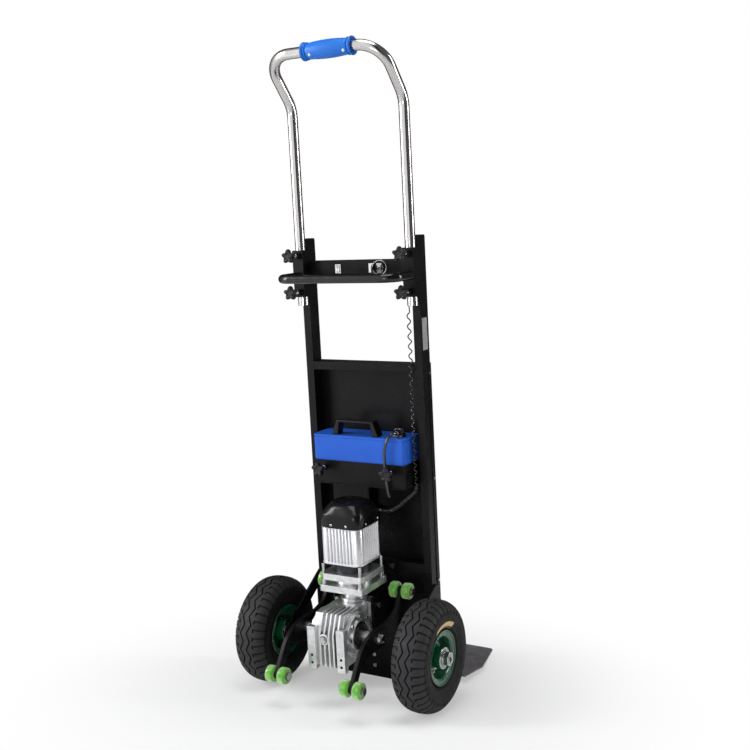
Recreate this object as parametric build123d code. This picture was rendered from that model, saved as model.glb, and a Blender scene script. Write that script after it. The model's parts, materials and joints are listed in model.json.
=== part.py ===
from build123d import *
import os
from math import asin, atan2, cos, degrees, pi, radians, sin, sqrt, tan

os.makedirs("parts", exist_ok=True)

# A powered stair climbing trolley. Origin on the floor under the middle of the wheel axle,
# +X to the operator's right, +Y forward to the toe plate, +Z up. Millimetres and degrees.
#
# The machine stands leaning back on its wheels and on the heel of its frame. All that is fixed
# to the frame is laid out in the frame's own axes (z along the uprights, y = 0 on their rear
# faces, z = 0 at the heel) and is set down in the row's axes by STANCE.

# ---------- driving dimensions: stance and wheels ----------
lean = 5.736
heel_y = 143.6
wheel_radius = 130.0
wheel_width = 86.0
wheel_x = 216.0
axle_radius = 10.0
wheel_bearing_radius = 21.0
hub_half = 38.0
axle_boss_x = (148.0, 171.0)

# ---------- driving dimensions: frame ----------
rail_x = 152.7
rail_width = 20.0
rail_depth = 38.0
rail_wall = 2.0
rail_top = 1100.0
sheet = 1.5
plate_sheet = 2.0
panel_top = 801.0
crossbar_size = 20.0
mid_bar_z = 292.0
lip_height = 40.0
half_between_rails = rail_x - rail_width / 2
panel_half = rail_x + rail_width / 2
sheet_half = panel_half + sheet
panel_screw_heights = (267.0, 521.0, 778.0)
panel_screw_y = 32.0
panel_screw_shank = 2.5
heel_bolt_x = -9.0
heel_bolt_heights = (30.0, 59.0)
heel_bolt_radius = 2.5

# ---------- driving dimensions: sliding handle ----------
handle_x = 151.5
handle_y = -14.0
handle_radius = 12.5
handle_wall = 1.5
handle_foot_z = 944.0
handle_bend_z = 1413.0
handle_top_y = -109.0
handle_top_z = 1524.0
handle_bend_radius = 62.0
leg_top_z = 1386.0
sleeve_size = 30.0
sleeve_rear = -29.0
sleeve_z = (963.0, 1076.0)
grip_x = 18.0
grip_half = 65.0
knob_heights = {"lower": 975.0, "upper": 1063.0}
handle_knob_y = -68.0
battery_knob_y = -80.0
stud_radius = 4.0
boss_radius = 8.0
sleeve_boss_y = -38.0
grab_bar_y = -114.0
grab_bar_z = 1013.0

# ---------- driving dimensions: control box ----------
box_y = (2.0, 36.0)
box_z = (1008.0, 1048.0)
rocker_x = -56.0
key_x = 58.0
switch_z = 1028.5
rocker_half_x, rocker_half_z = 5.0, 7.8
rocker_axis_y = 3.0
lock_radius = 9.4
key_plug_radius = 5.0

# ---------- driving dimensions: climbing drive, set a little to the right ----------
drive_x = 4.0
shaft_y = -172.0
shaft_z = 184.0
shaft_radius = 12.5
centre_distance = 68.0
worm_y = shaft_y + centre_distance
wheel_teeth = 30
wheel_pitch_radius = 50.5
worm_pitch = 2 * pi * wheel_pitch_radius / wheel_teeth
worm_root = 14.5
worm_tip = 20.3
shaft_core = 8.5
drive_bearing_radius = 23.5
worm_bearing_radius = 20.0
top_bearing_radius = 17.5

# ---------- driving dimensions: gearbox ----------
housing_half = 40.0
housing_top = 242.0
cheek_x = 50.0
cheek_sheet = 6.0
chamber_half = 47.0
rib_y = -240.0
rib_pitch = 12.0
rib_thickness = 3.8
oil_plug_x, oil_plug_z = -4.0, 189.0
foot_hole_heights = (128.0, 146.0)
cheek_bolt_y, cheek_bolt_z = -84.0, 228.0
bracket_bolt_x, bracket_bolt_z = 54.0, 300.0
m7_radius, m7_head_radius = 3.5, 6.5

# ---------- driving dimensions: motor ----------
motor_half = 54.0
stator_radius = 46.0
flange_z = (275.0, 290.0)
bell_z = (290.0, 318.0)
bell_ring_low = 303.0
stator_z = (318.0, 430.0)
body_z = (342.0, 432.0)
cap_z = (432.0, 487.0)
stud_pitch = 100.0
flange_half = 60.0
stud_hole_radius = 4.0

# ---------- driving dimensions: climbing arms ----------
arm_reach = 143.4
arm_angle = 31.6
arm_x = (96.0, 106.0)
arm_bore = 10.0
roller_radius = 19.5
roller_width = 20.0
roller_gap = 1.5
bush_radius = 9.5
roller_bolt_radius = 5.0
outer_roller_x = (arm_x[1] + roller_gap, arm_x[1] + roller_gap + roller_width)
inner_roller_x = (arm_x[0] - roller_gap - roller_width, arm_x[0] - roller_gap)

# ---------- driving dimensions: battery, toe plate ----------
battery_half = 127.0
battery_y = (-45.0, 34.5)
battery_z = (512.0, 628.0)
case_wall = 2.5
case_corner = 9.0
lid_height = 6.0
plug_x = 97.0
lead_radius = 2.5
tray_half = 128.4
tray_z = (508.0, 566.0)
tray_back = -48.0
tray_boss_y = -54.0
battery_knob_x = 94.0
battery_knob_z = 548.0
coil_x, coil_y = 134.6, -5.8
coil_radius = 5.4
toe_hinge_y = 49.0
toe_hinge_z = 16.0
toe_reach = 293.0
toe_thickness = 4.0
knuckle_radius = 8.0
pin_radius = 4.0
pin_half = 168.0
fixed_knuckles = ((-pin_half, -141.0), (-14.0, 14.0), (141.0, pin_half))
moving_knuckles = ((-140.0, -15.0), (15.0, 140.0))

# ---------- clearances ----------
running = 0.05
slack = 0.5

STANCE = Location((0, heel_y, 0), (lean, 0, 0))


def to_frame(y, z):
    """Row coordinates of a point in the side view, turned into the frame's own axes."""
    back = y - heel_y
    tilt = radians(lean)
    return back * cos(tilt) + z * sin(tilt), -back * sin(tilt) + z * cos(tilt)


axle_y, axle_z = to_frame(0, wheel_radius)


# ---------- small building blocks ----------
def block(x_span, y_span, z_span):
    """A box between two planes along each axis."""
    spans = (x_span, y_span, z_span)
    size = [high - low for low, high in spans]
    middle = [(high + low) / 2 for low, high in spans]
    return Pos(*middle) * Box(*size)


def rod_x(radius, x_span, y, z):
    low, high = x_span
    return Pos((low + high) / 2, y, z) * Rot(0, 90, 0) * Cylinder(radius, high - low)


def rod_y(radius, y_span, x, z):
    low, high = y_span
    return Pos(x, (low + high) / 2, z) * Rot(90, 0, 0) * Cylinder(radius, high - low)


def rod_z(radius, z_span, x, y):
    low, high = z_span
    return Pos(x, y, (low + high) / 2) * Cylinder(radius, high - low)


def hex_x(across_flats, x_span, y, z):
    """A hexagonal bolt head or nut with its axis along X."""
    low, high = x_span
    outline = RegularPolygon(across_flats / 2, 6, major_radius=False)
    return Pos(low, y, z) * Rot(0, 90, 0) * extrude(outline, high - low)


def rounded_bar(half_x, half_y, corner, z_span, x=0.0, y=0.0):
    """An upright bar with a rounded rectangular outline."""
    low, high = z_span
    outline = RectangleRounded(2 * half_x, 2 * half_y, corner)
    return Pos(x, y, low) * extrude(outline, high - low)


def polygon(*points):
    """A flat polygon through the points, facing the same way whichever way round they run."""
    nexts = points[1:] + points[:1]
    area = sum(a[0] * b[1] - b[0] * a[1] for a, b in zip(points, nexts))
    if area < 0:
        points = points[::-1]
    return Polygon(*points, align=None)


def side_plate(outline, x_span):
    """A flat plate standing in the side view, from an outline drawn in (y, z)."""
    low, high = x_span
    return Pos(low, 0, 0) * extrude(Plane.YZ * outline, high - low, dir=(1, 0, 0))


def capsule(start, end, radius):
    """A round-ended bar outline between two points."""
    run = Vector(*end) - Vector(*start)
    middle = (Vector(*start) + Vector(*end)) / 2
    angle = degrees(atan2(run.Y, run.X))
    return Pos(middle.X, middle.Y) * Rot(0, 0, angle) * SlotCenterToCenter(run.length, 2 * radius)


def both_sides(shape):
    """The shape and its mirror image on the other side of the machine."""
    return shape + mirror(shape, about=Plane.YZ)


def bent_wire(points, radius):
    """Straight runs joined by round bends of one radius, through the corner points."""
    corners = [Vector(*point) for point in points]
    edges = []
    start = corners[0]
    for corner, after in zip(corners[1:-1], corners[2:]):
        back = (start - corner).normalized()
        onward = (after - corner).normalized()
        half_angle = radians(back.get_angle(onward)) / 2
        reach = radius / tan(half_angle)
        first = corner + back * reach
        last = corner + onward * reach
        inward = (back + onward).normalized()
        middle = corner + inward * (radius / sin(half_angle) - radius)
        edges.append(Line(start, first))
        edges.append(ThreePointArc(first, middle, last))
        start = last
    edges.append(Line(start, corners[-1]))
    return Wire(edges)


def bar_along(path, outer, inner=0.0):
    """A round bar, or a tube if inner is given, swept along a wire."""
    section = Circle(outer)
    if inner:
        section -= Circle(inner)
    return sweep(Plane(origin=path @ 0, z_dir=path % 0) * section, path=path)


def round_chain(points, radius):
    """Straight round bars from point to point, with a ball at each corner between them."""
    corners = [Vector(*point) for point in points]
    chain = None
    for start, end in zip(corners[:-1], corners[1:]):
        run = end - start
        bar = Plane(origin=start, z_dir=run) * extrude(Circle(radius), run.length)
        chain = bar if chain is None else chain + bar
    for corner in corners[1:-1]:
        chain += Pos(*corner) * Sphere(radius)
    return chain


def on_drive(shape):
    """Moves a part of the climbing drive from the middle plane to the drive's own place."""
    return Pos(drive_x, 0, 0) * shape


def ring_x(outer, inner, x_span, y, z):
    return rod_x(outer, x_span, y, z) - rod_x(inner, x_span, y, z)


def ring_z(outer, inner, z_span, x, y):
    return rod_z(outer, z_span, x, y) - rod_z(inner, z_span, x, y)


# ---------- frame ----------
def upright(side):
    """A rectangular steel tube, one on each side."""
    outer = (side * rail_x - rail_width / 2, side * rail_x + rail_width / 2)
    inner = (outer[0] + rail_wall, outer[1] - rail_wall)
    tube = block(outer, (0, rail_depth), (plate_sheet, rail_top))
    tube -= block(inner, (rail_wall, rail_depth - rail_wall), (plate_sheet, rail_top))
    hole_x = sorted((side * rail_x, side * sheet_half))
    for z in panel_screw_heights:
        tube -= rod_x(panel_screw_shank, hole_x, panel_screw_y, z)
    return tube


def upright_caps():
    """Plastic plugs that close the open tops of the uprights."""
    corner, thickness, depth = 2.5, 3.0, 14.0
    half_x, half_y = rail_width / 2, rail_depth / 2
    lid = rounded_bar(half_x, half_y, corner, (rail_top, rail_top + thickness))
    inner_x = half_x - rail_wall - 2 * running
    inner_y = half_y - rail_wall - 2 * running
    plug = block((-inner_x, inner_x), (-inner_y, inner_y), (rail_top - depth, rail_top))
    return both_sides(Pos(rail_x, rail_depth / 2, 0) * (lid + plug))


def frame_crossbars():
    """Two square tubes welded between the uprights: panel top and above the gearbox."""
    x_span = (-half_between_rails, half_between_rails)
    inner = crossbar_size - 2 * rail_wall
    bars = []
    for low in (panel_top - crossbar_size, mid_bar_z):
        bar = block(x_span, (0, crossbar_size), (low, low + crossbar_size))
        hollow_z = (low + rail_wall, low + rail_wall + inner)
        bar -= block(x_span, (rail_wall, rail_wall + inner), hollow_z)
        bars.append(bar)
    return bars[0] + bars[1]


def front_panel():
    """The sheet that carries the load, with flanges wrapped round the uprights' front corners."""
    flange_depth, fold_depth = 12.0, 14.0
    z_span = (lip_height + 1, panel_top)
    face = block((-sheet_half, sheet_half), (rail_depth, rail_depth + sheet), z_span)
    flange = block((panel_half, sheet_half), (rail_depth - flange_depth, rail_depth), z_span)
    top_fold = block((-half_between_rails, half_between_rails),
                     (rail_depth - fold_depth, rail_depth), (panel_top - sheet, panel_top))
    panel = face + both_sides(flange) + top_fold
    for z in panel_screw_heights:
        hole = rod_x(panel_screw_shank, (panel_half, sheet_half), panel_screw_y, z)
        panel -= both_sides(hole)
    return panel


def lower_plate():
    """Folded steel: rear sheet, heel that stands on the floor, and a front lip with hinge ears."""
    x_span = (-sheet_half, sheet_half)
    lip_front = rail_depth + plate_sheet
    ear_half = 6.0
    rear = block((-half_between_rails, half_between_rails), (0, plate_sheet), (0, mid_bar_z))
    heel = block(x_span, (0, lip_front), (0, plate_sheet))
    lip = block(x_span, (rail_depth, lip_front), (0, lip_height))
    plate = rear + heel + lip
    for span in fixed_knuckles:
        ear_z = (toe_hinge_z - ear_half, toe_hinge_z + ear_half)
        plate += block(span, (rail_depth, toe_hinge_y), ear_z)
        plate += rod_x(knuckle_radius, span, toe_hinge_y, toe_hinge_z)
        plate -= rod_x(pin_radius, span, toe_hinge_y, toe_hinge_z)
    for z in heel_bolt_heights:
        plate -= rod_y(heel_bolt_radius, (0, plate_sheet), heel_bolt_x, z)
    return plate


# ---------- toe plate ----------
def toe_slope():
    """How far the toe plate tips down, in the row's axes, for its front edge to meet the floor."""
    tilt = radians(lean)
    height = toe_hinge_y * sin(tilt) + toe_hinge_z * cos(tilt)
    edge = sqrt(toe_reach ** 2 + (toe_thickness / 2) ** 2)
    return degrees(asin(height / edge) - atan2(toe_thickness / 2, toe_reach))


def toe_plate():
    """A folding load plate, full width and then tapering to its front edge, on hinge knuckles."""
    wide, narrow, shoulder, start = 212.0, 162.0, 116.0, 10.0
    corner = 14.0
    half = toe_thickness / 2
    outline = polygon((-wide, start), (wide, start), (wide, shoulder), (narrow, toe_reach),
                      (-narrow, toe_reach), (-wide, shoulder))
    outline = fillet(outline.vertices().sort_by(Axis.Y)[-2:], corner)
    plate = Pos(0, 0, -half) * extrude(outline, toe_thickness)
    for span in moving_knuckles:
        plate += block(span, (0, start), (-half, half))
        plate += rod_x(knuckle_radius, span, 0, 0)
        plate -= rod_x(pin_radius + running, span, 0, 0)
    down = Rot(-toe_slope() - lean, 0, 0)
    return Pos(0, toe_hinge_y, toe_hinge_z) * down * plate


def toe_hinge_pin():
    """The hinge's steel pin, with a riveted head at each end."""
    head_radius, head_height = 6.5, 3.0
    pin = rod_x(pin_radius, (-pin_half, pin_half), toe_hinge_y, toe_hinge_z)
    head = rod_x(head_radius, (pin_half, pin_half + head_height), toe_hinge_y, toe_hinge_z)
    return pin + both_sides(head)


# ---------- sliding handle ----------
def clamp_sleeves():
    """Square guides welded behind the uprights. The handle's tubes slide in them."""
    half = sleeve_size / 2
    x_span = (handle_x - half, handle_x + half)
    sleeve = block(x_span, (sleeve_rear, 0), sleeve_z)
    sleeve -= rod_z(handle_radius + running, sleeve_z, handle_x, handle_y)
    for z in knob_heights.values():
        sleeve += rod_y(boss_radius, (sleeve_boss_y, sleeve_rear), handle_x, z)
        stud_hole = (sleeve_boss_y, handle_y - handle_radius)
        sleeve -= rod_y(stud_radius + running, stud_hole, handle_x, z)
    return both_sides(sleeve)


def handle_tube():
    """A stainless U: two straight legs, and a bow on top of them that leans back to the operator."""
    bore = handle_radius - handle_wall
    leg = ring_z(handle_radius, bore, (handle_foot_z, leg_top_z), handle_x, handle_y)
    path = bent_wire(
        [
            (-handle_x, handle_y, leg_top_z),
            (-handle_x, handle_y, handle_bend_z),
            (-handle_x, handle_top_y, handle_top_z),
            (handle_x, handle_top_y, handle_top_z),
            (handle_x, handle_y, handle_bend_z),
            (handle_x, handle_y, leg_top_z),
        ],
        handle_bend_radius,
    )
    bow = bar_along(path, handle_radius, bore)
    return Compound([*leg.solids(), *mirror(leg, about=Plane.YZ).solids(), *bow.solids()])


def handle_ferrules():
    """Bright collars on the tubes' lower ends, too wide to pull up through the sleeves."""
    ferrule_radius, ferrule_top, floor = 13.0, 960.0, 2.0
    collar_z = (handle_foot_z - floor, ferrule_top)
    collar = rod_z(ferrule_radius, collar_z, handle_x, handle_y)
    collar -= rod_z(handle_radius, (handle_foot_z, ferrule_top), handle_x, handle_y)
    return both_sides(collar)


def handle_grip():
    """A moulded grip, swollen in the middle, with a flanged collar at each end."""
    collar, neck, belly = 21.0, 18.0, 21.0
    rim = 9.0
    body_half = grip_half - rim
    belly_line = Spline((-body_half, neck), (0, belly), (body_half, neck))
    outline = Polyline((body_half, neck), (body_half, collar), (grip_half, collar),
                       (grip_half, handle_radius), (-grip_half, handle_radius),
                       (-grip_half, collar), (-body_half, collar), (-body_half, neck))
    profile = make_face(belly_line + outline)
    return Pos(grip_x, handle_top_y, handle_top_z) * revolve(profile, Axis.X)


def u_bar():
    """The fixed lower grab bar, welded to the rear of the two sleeves."""
    x, y, z = 157.0, grab_bar_y, grab_bar_z
    bend, outer, bore = 36.0, 10.5, 8.5
    path = bent_wire([(-x, sleeve_rear, z), (-x, y, z), (x, y, z), (x, sleeve_rear, z)], bend)
    return bar_along(path, outer, bore)


def star_knob(x, z, centre_y, tip_y):
    """A five-lobed clamping knob, its collar and its threaded stud, pointing forward."""
    lobes, lobe_radius, lobe_centre, core = 5, 6.0, 12.5, 12.0
    half, collar_radius, collar_length = 7.0, 7.0, 10.0
    head = Circle(core)
    for index in range(lobes):
        angle = 90 + index * 360 / lobes
        head += Rot(0, 0, angle) * Pos(lobe_centre, 0) * Circle(lobe_radius)
    front = centre_y + half
    collar_front = front + collar_length
    body = Pos(x, front, z) * Rot(90, 0, 0) * extrude(head, 2 * half)
    body += rod_y(collar_radius, (front, collar_front), x, z)
    return body + rod_y(stud_radius, (collar_front, tip_y), x, z)


def handle_knob(side, level):
    tip = handle_y - handle_radius - slack
    return star_knob(side * handle_x, knob_heights[level], handle_knob_y, tip)


# ---------- control box ----------
def around_rocker(grow):
    """The rocker opening's spans along x and z, widened by grow on every side."""
    x_span = (rocker_x - rocker_half_x - grow, rocker_x + rocker_half_x + grow)
    z_span = (switch_z - rocker_half_z - grow, switch_z + rocker_half_z + grow)
    return x_span, z_span


def control_box():
    """A folded channel between the uprights that holds the rocker and the key switch."""
    half = half_between_rails
    face = (box_y[0], box_y[0] + sheet)
    box = block((-half, half), box_y, box_z)
    box -= block((-half, half), (face[1], box_y[1]), (box_z[0] + sheet, box_z[1] - sheet))
    x_span, z_span = around_rocker(1.2)
    box -= block(x_span, face, z_span)
    return box - rod_y(lock_radius + 2 * running, face, key_x, switch_z)


def rocker_bezel():
    """The rocker's frame and body, with an opening the rocker tips in."""
    face_front, body_front, mouth_floor = -0.5, 22.0, 14.0
    face_x, face_z = around_rocker(2.8)
    body_x, body_z_span = around_rocker(1.1)
    mouth_x, mouth_z = around_rocker(0)
    face = block(face_x, (face_front, box_y[0]), face_z)
    body = block(body_x, (box_y[0], body_front), body_z_span)
    return face + body - block(mouth_x, (face_front, mouth_floor), mouth_z)


def rocker_switch():
    """A rocker on a cross pin, its face a shallow V so that either half can be pushed in."""
    half_x, half_z = 4.6, 6.6
    pin_half_x, rocker_pin_radius = 4.9, 1.5
    outline = polygon((-4, -half_z), (-1.5, 0), (-4, half_z), (8, half_z), (8, -half_z))
    rocker = side_plate(outline, (rocker_x - half_x, rocker_x + half_x))
    rocker += rod_x(rocker_pin_radius, (rocker_x - pin_half_x, rocker_x + pin_half_x),
                    rocker_axis_y, 0)
    return Pos(0, 0, switch_z) * rocker


def key_switch():
    """A round lock barrel with a flange, bored for the turning plug."""
    flange_radius, flange_rear, barrel_front, bore_floor = 12.0, -0.5, 28.0, 20.0
    barrel = rod_y(lock_radius, (box_y[0], barrel_front), key_x, switch_z)
    flange = rod_y(flange_radius, (flange_rear, box_y[0]), key_x, switch_z)
    bore = rod_y(key_plug_radius + running, (flange_rear, bore_floor), key_x, switch_z)
    return barrel + flange - bore


def ignition_key():
    """The turning plug with the key in it, and a split ring hanging from the key's bow."""
    plug_span, blade_span, blade_half = (-3.0, 18.0), (-13.0, -3.0), 4.0
    bow_radius, bow_y, eye_radius, eye_y = 11.0, -22.0, 2.4, -28.0
    ring_radius, wire_radius = 14.0, 0.9
    key_x_span = (key_x - 1.2, key_x + 1.2)
    plug = rod_y(key_plug_radius, plug_span, key_x, switch_z)
    blade = block(key_x_span, blade_span, (switch_z - blade_half, switch_z + blade_half))
    bow_outline = Circle(bow_radius) - Pos(eye_y - bow_y, 0) * Circle(eye_radius)
    bow = Pos(0, bow_y, switch_z) * side_plate(bow_outline, key_x_span)
    ring = Rot(0, 0, 12) * Torus(ring_radius, wire_radius)
    return plug + blade + bow + Pos(key_x + ring_radius - 0.8, eye_y, switch_z) * ring


# ---------- battery ----------
def battery_case():
    """The battery's open-topped moulded case."""
    half_y = (battery_y[1] - battery_y[0]) / 2
    middle = (battery_y[1] + battery_y[0]) / 2
    low, high = battery_z[0], battery_z[1] - lid_height
    case = rounded_bar(battery_half, half_y, case_corner, (low, high), y=middle)
    hollow = rounded_bar(battery_half - case_wall, half_y - case_wall, case_corner - case_wall,
                         (low + case_wall, high), y=middle)
    return case - hollow


def battery_lid():
    """The case's flat lid, with a rim that drops inside."""
    half_y = (battery_y[1] - battery_y[0]) / 2
    middle = (battery_y[1] + battery_y[0]) / 2
    low, high = battery_z[1] - lid_height, battery_z[1]
    lid = rounded_bar(battery_half, half_y, case_corner, (low, high), y=middle)
    fit = case_wall + 0.2
    rim_wall, rim_z = 2.0, (low - 5, low)
    rim = rounded_bar(battery_half - fit, half_y - fit, 6, rim_z, y=middle)
    inside = fit + rim_wall
    rim -= rounded_bar(battery_half - inside, half_y - inside, 4, rim_z, y=middle)
    return lid + rim


def battery_cells():
    """Cylindrical cells standing in rows inside the case."""
    cell_radius, cell_height = 9.0, 65.0
    columns, rows = 13, 3
    pitch_x, pitch_y = 18.6, 19.0
    middle = (battery_y[1] + battery_y[0]) / 2
    floor = battery_z[0] + case_wall + 12
    cells = []
    for place in GridLocations(pitch_x, pitch_y, columns, rows):
        x, y = place.position.X, place.position.Y + middle
        cells.append(rod_z(cell_radius, (floor, floor + cell_height), x, y))
    return cells[0] + cells[1:]


def battery_handle():
    """A flat strap handle standing on the lid, its legs leaning in towards the top."""
    foot, top, height, bar = 65.0, 51.0, 37.0, 6.0
    inner_foot, inner_top = 48.0, 43.0
    middle_x, front_y, width = -11.0, -12.0, 26.0
    outline = polygon((-foot, 0), (-top, height), (top, height), (foot, 0), (inner_foot, 0),
                      (inner_top, height - bar), (-inner_top, height - bar), (-inner_foot, 0))
    strap = extrude(Plane.XZ * outline, width, dir=(0, -1, 0))
    return Pos(middle_x, front_y, battery_z[1]) * strap


def battery_lead():
    """The output plug on the lid and its cable, looped down over the battery and the tray.

    The cable is two lengths, the loop off the lid and the hanging end, and the plug is a third
    piece, so that each has a simple shape of its own beside the battery's clamping knob.
    """
    top = battery_z[1]
    rear = battery_y[0] - 10
    nose_x, nose_y, nose_z = plug_x - 8, -32.0, top + 7
    hang_x, hang_z, join_z, end_z = plug_x - 18, 560.0, 590.0, 492.0
    bend = 8.0
    join_x = hang_x + (nose_x - hang_x) * (join_z - hang_z) / (nose_z - hang_z)
    plug = block((plug_x - 13, plug_x + 15), (-24, -4), (top, top + 13))
    plug += rod_y(6.5, (nose_y, -24), nose_x, nose_z)
    loop = bent_wire([(nose_x, nose_y, nose_z), (nose_x, rear, nose_z), (join_x, rear, join_z)],
                     bend)
    hanging = bent_wire([(join_x, rear, join_z), (hang_x, rear, hang_z), (hang_x, rear, end_z)],
                        bend)
    pieces = [plug, bar_along(loop, lead_radius), bar_along(hanging, lead_radius)]
    return Compound([solid for piece in pieces for solid in piece.solids()])


def battery_tray():
    """A folded sheet pocket, hung on the panel, that the battery drops into."""
    wall, lip = 1.2, 4.0
    x_span = (-tray_half, tray_half)
    floor = (tray_z[0], tray_z[0] + wall)
    tray = block(x_span, (tray_back, rail_depth), tray_z)
    tray -= block((-tray_half + wall, tray_half - wall), (tray_back + wall, rail_depth),
                  (floor[1], tray_z[1]))
    tray += block(x_span, (tray_back - lip, tray_back), floor)
    stud_hole = (tray_boss_y, tray_back + wall)
    for x in (-battery_knob_x, battery_knob_x):
        tray += rod_y(boss_radius, (tray_boss_y, tray_back), x, battery_knob_z)
        tray -= rod_y(stud_radius + running, stud_hole, x, battery_knob_z)
    return tray


def battery_knob(side):
    tip = battery_y[0] - slack
    return star_knob(side * battery_knob_x, battery_knob_z, battery_knob_y, tip)


def controller_box():
    """The motor controller's flat case, screwed to the panel under the tray."""
    case = block((-115, -10), (14, rail_depth), (385, 498))
    return fillet(case.edges().filter_by(Axis.Y), 5)


def coil_cord():
    """The space the coiled control cord fills, hung from the control box down to the controller."""
    top, foot, box_entry, wire_radius = 930.0, 490.0, 1018.0, 1.6
    coil = [(coil_x, coil_y, top), (coil_x, coil_y, foot), (118, 4, 462), (60, 20, 436),
            (-9, 26, 436)]
    lead = [(coil_x, coil_y, top - 4), (coil_x, coil_y, box_entry),
            (coil_x, box_y[0] - 1, box_entry)]
    return round_chain(coil, coil_radius) + round_chain(lead, wire_radius)


# ---------- motor ----------
def stud_holes(z_span):
    """The four long studs' holes, as bars to cut with."""
    holes = []
    for place in GridLocations(stud_pitch, stud_pitch, 2, 2):
        x, y = place.position.X, place.position.Y + worm_y
        holes.append(rod_z(stud_hole_radius, z_span, x, y))
    return holes


def motor_flange():
    """The square adapter plate between the gearbox neck and the motor."""
    corner, bore = 7.0, 14.0
    plate = rounded_bar(flange_half, flange_half, corner, flange_z, y=worm_y)
    return plate - rod_z(bore, flange_z, 0, worm_y) - stud_holes(flange_z)


def motor_end_bell():
    """The cast lower end shield: a round spigot and a square ring that takes the long studs."""
    spigot, ring_half, ring_corner, recess, bore = 44.0, 57.0, 12.0, 26.0, 14.0
    bell = rod_z(spigot, (bell_z[0], bell_ring_low), 0, worm_y)
    ring_z_span = (bell_ring_low, bell_z[1])
    bell += rounded_bar(ring_half, ring_half, ring_corner, ring_z_span, y=worm_y)
    bell -= rod_z(recess, (bell_ring_low + 1, bell_z[1]), 0, worm_y)
    return bell - rod_z(bore, bell_z, 0, worm_y) - stud_holes(bell_z)


def stator():
    """The laminated stator. Its black lower end shows between the end bell and the body."""
    bore, slots = 31.0, 12
    core = ring_z(stator_radius, bore, stator_z, 0, worm_y)
    for place in PolarLocations(bore, slots):
        slot = Pos(0, worm_y, 0) * place * block((-1, 9), (-2.2, 2.2), stator_z)
        core -= slot
    return core


def motor_body():
    """The extruded body: a rounded square with upright cooling grooves on all four sides."""
    corner, pitch, depth, width, per_side = 18.0, 8.0, 4.0, 3.2, 10
    body = rounded_bar(motor_half, motor_half, corner, body_z, y=worm_y)
    body -= rod_z(stator_radius, body_z, 0, worm_y)
    grooves = []
    for turn in range(4):
        for index in range(per_side):
            across = (index - (per_side - 1) / 2) * pitch
            groove = block((motor_half - depth, motor_half + 1),
                           (across - width / 2, across + width / 2), body_z)
            grooves.append(Pos(0, worm_y, 0) * Rot(0, 0, 90 * turn) * groove)
    return body - grooves


def motor_cap():
    """The black fan cover: chamfered shoulders, a top bearing seat and curved air slots."""
    half, corner, shoulder = 55.5, 24.0, 14.0
    inner_half, inner_corner, crown_half, crown_wall = 51.0, 16.0, 33.0, 4.0
    bridge_half, seat_radius = 8.0, 22.0
    low, high = cap_z
    inner_top = high - 21
    cap = rounded_bar(half, half, corner, cap_z, y=worm_y)
    cap = chamfer(cap.faces().sort_by(Axis.Z)[-1].edges(), shoulder)
    cap -= rounded_bar(inner_half, inner_half, inner_corner, (low, inner_top), y=worm_y)
    cap -= rounded_bar(crown_half, crown_half, 6, (inner_top, high - crown_wall), y=worm_y)
    seat_z = (low + 2, low + 14)
    cap += block((-inner_half, inner_half), (worm_y - bridge_half, worm_y + bridge_half), seat_z)
    cap += rod_z(seat_radius, seat_z, 0, worm_y)
    cap -= rod_z(top_bearing_radius, seat_z, 0, worm_y)
    slot_half, spoke, spoke_length = 1.6, 9.0, 80.0
    spokes = Rectangle(spoke_length, spoke) + Rectangle(spoke, spoke_length)
    for radius in (14, 21, 28):
        ring = Circle(radius + slot_half) - Circle(radius - slot_half)
        cap -= Pos(0, worm_y, high - crown_wall - 1) * extrude(ring - spokes, crown_wall + 2)
    return cap


def rotor():
    """The magnet rotor, pressed on the upper end of the worm shaft."""
    radius, z_span = 30.0, (345.0, 428.0)
    return ring_z(radius, shaft_core, z_span, 0, worm_y)


# ---------- gearbox ----------
def worm_shaft():
    """A shaft with one right-hand thread that meshes with the worm wheel, and the motor above."""
    turns, turns_below_wheel, shoulder = 5, 2.75, 8.0
    shaft_span = (122.0, 450.0)
    height = turns * worm_pitch
    start = shaft_z - turns_below_wheel * worm_pitch
    core = rod_z(shaft_core, shaft_span, 0, 0)
    core += rod_z(worm_root, (start - shoulder, start + height + shoulder), 0, 0)
    path = Pos(0, 0, start) * Helix(worm_pitch, height, worm_root)
    reach = worm_tip - worm_root
    section = polygon((-1, -2.1), (reach, -1.0), (reach, 1.0), (-1, 2.1))
    where = Plane(origin=path @ 0, x_dir=(1, 0, 0), z_dir=path % 0)
    thread = sweep(where * section, path=path, is_frenet=True)
    return Pos(0, worm_y, 0) * (core + thread)


def worm_wheel():
    """A thirty-tooth bronze wheel on the climbing shaft. A gap faces the worm's thread at rest."""
    root, tip, half_face, hub_radius, hub_half_width = 46.4, 53.4, 8.0, 20.0, 17.0
    wheel = Circle(root) - Circle(shaft_radius)
    tooth = polygon((root - 1, -2.4), (tip, -0.9), (tip, 0.9), (root - 1, 2.4))
    for index in range(wheel_teeth):
        angle = (index + 0.5) * 360 / wheel_teeth
        wheel += Rot(0, 0, angle) * tooth
    gear = side_plate(wheel, (-half_face, half_face))
    hub = ring_x(hub_radius, shaft_radius, (-hub_half_width, hub_half_width), 0, 0)
    return Pos(0, shaft_y, shaft_z) * (gear + hub)


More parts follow.
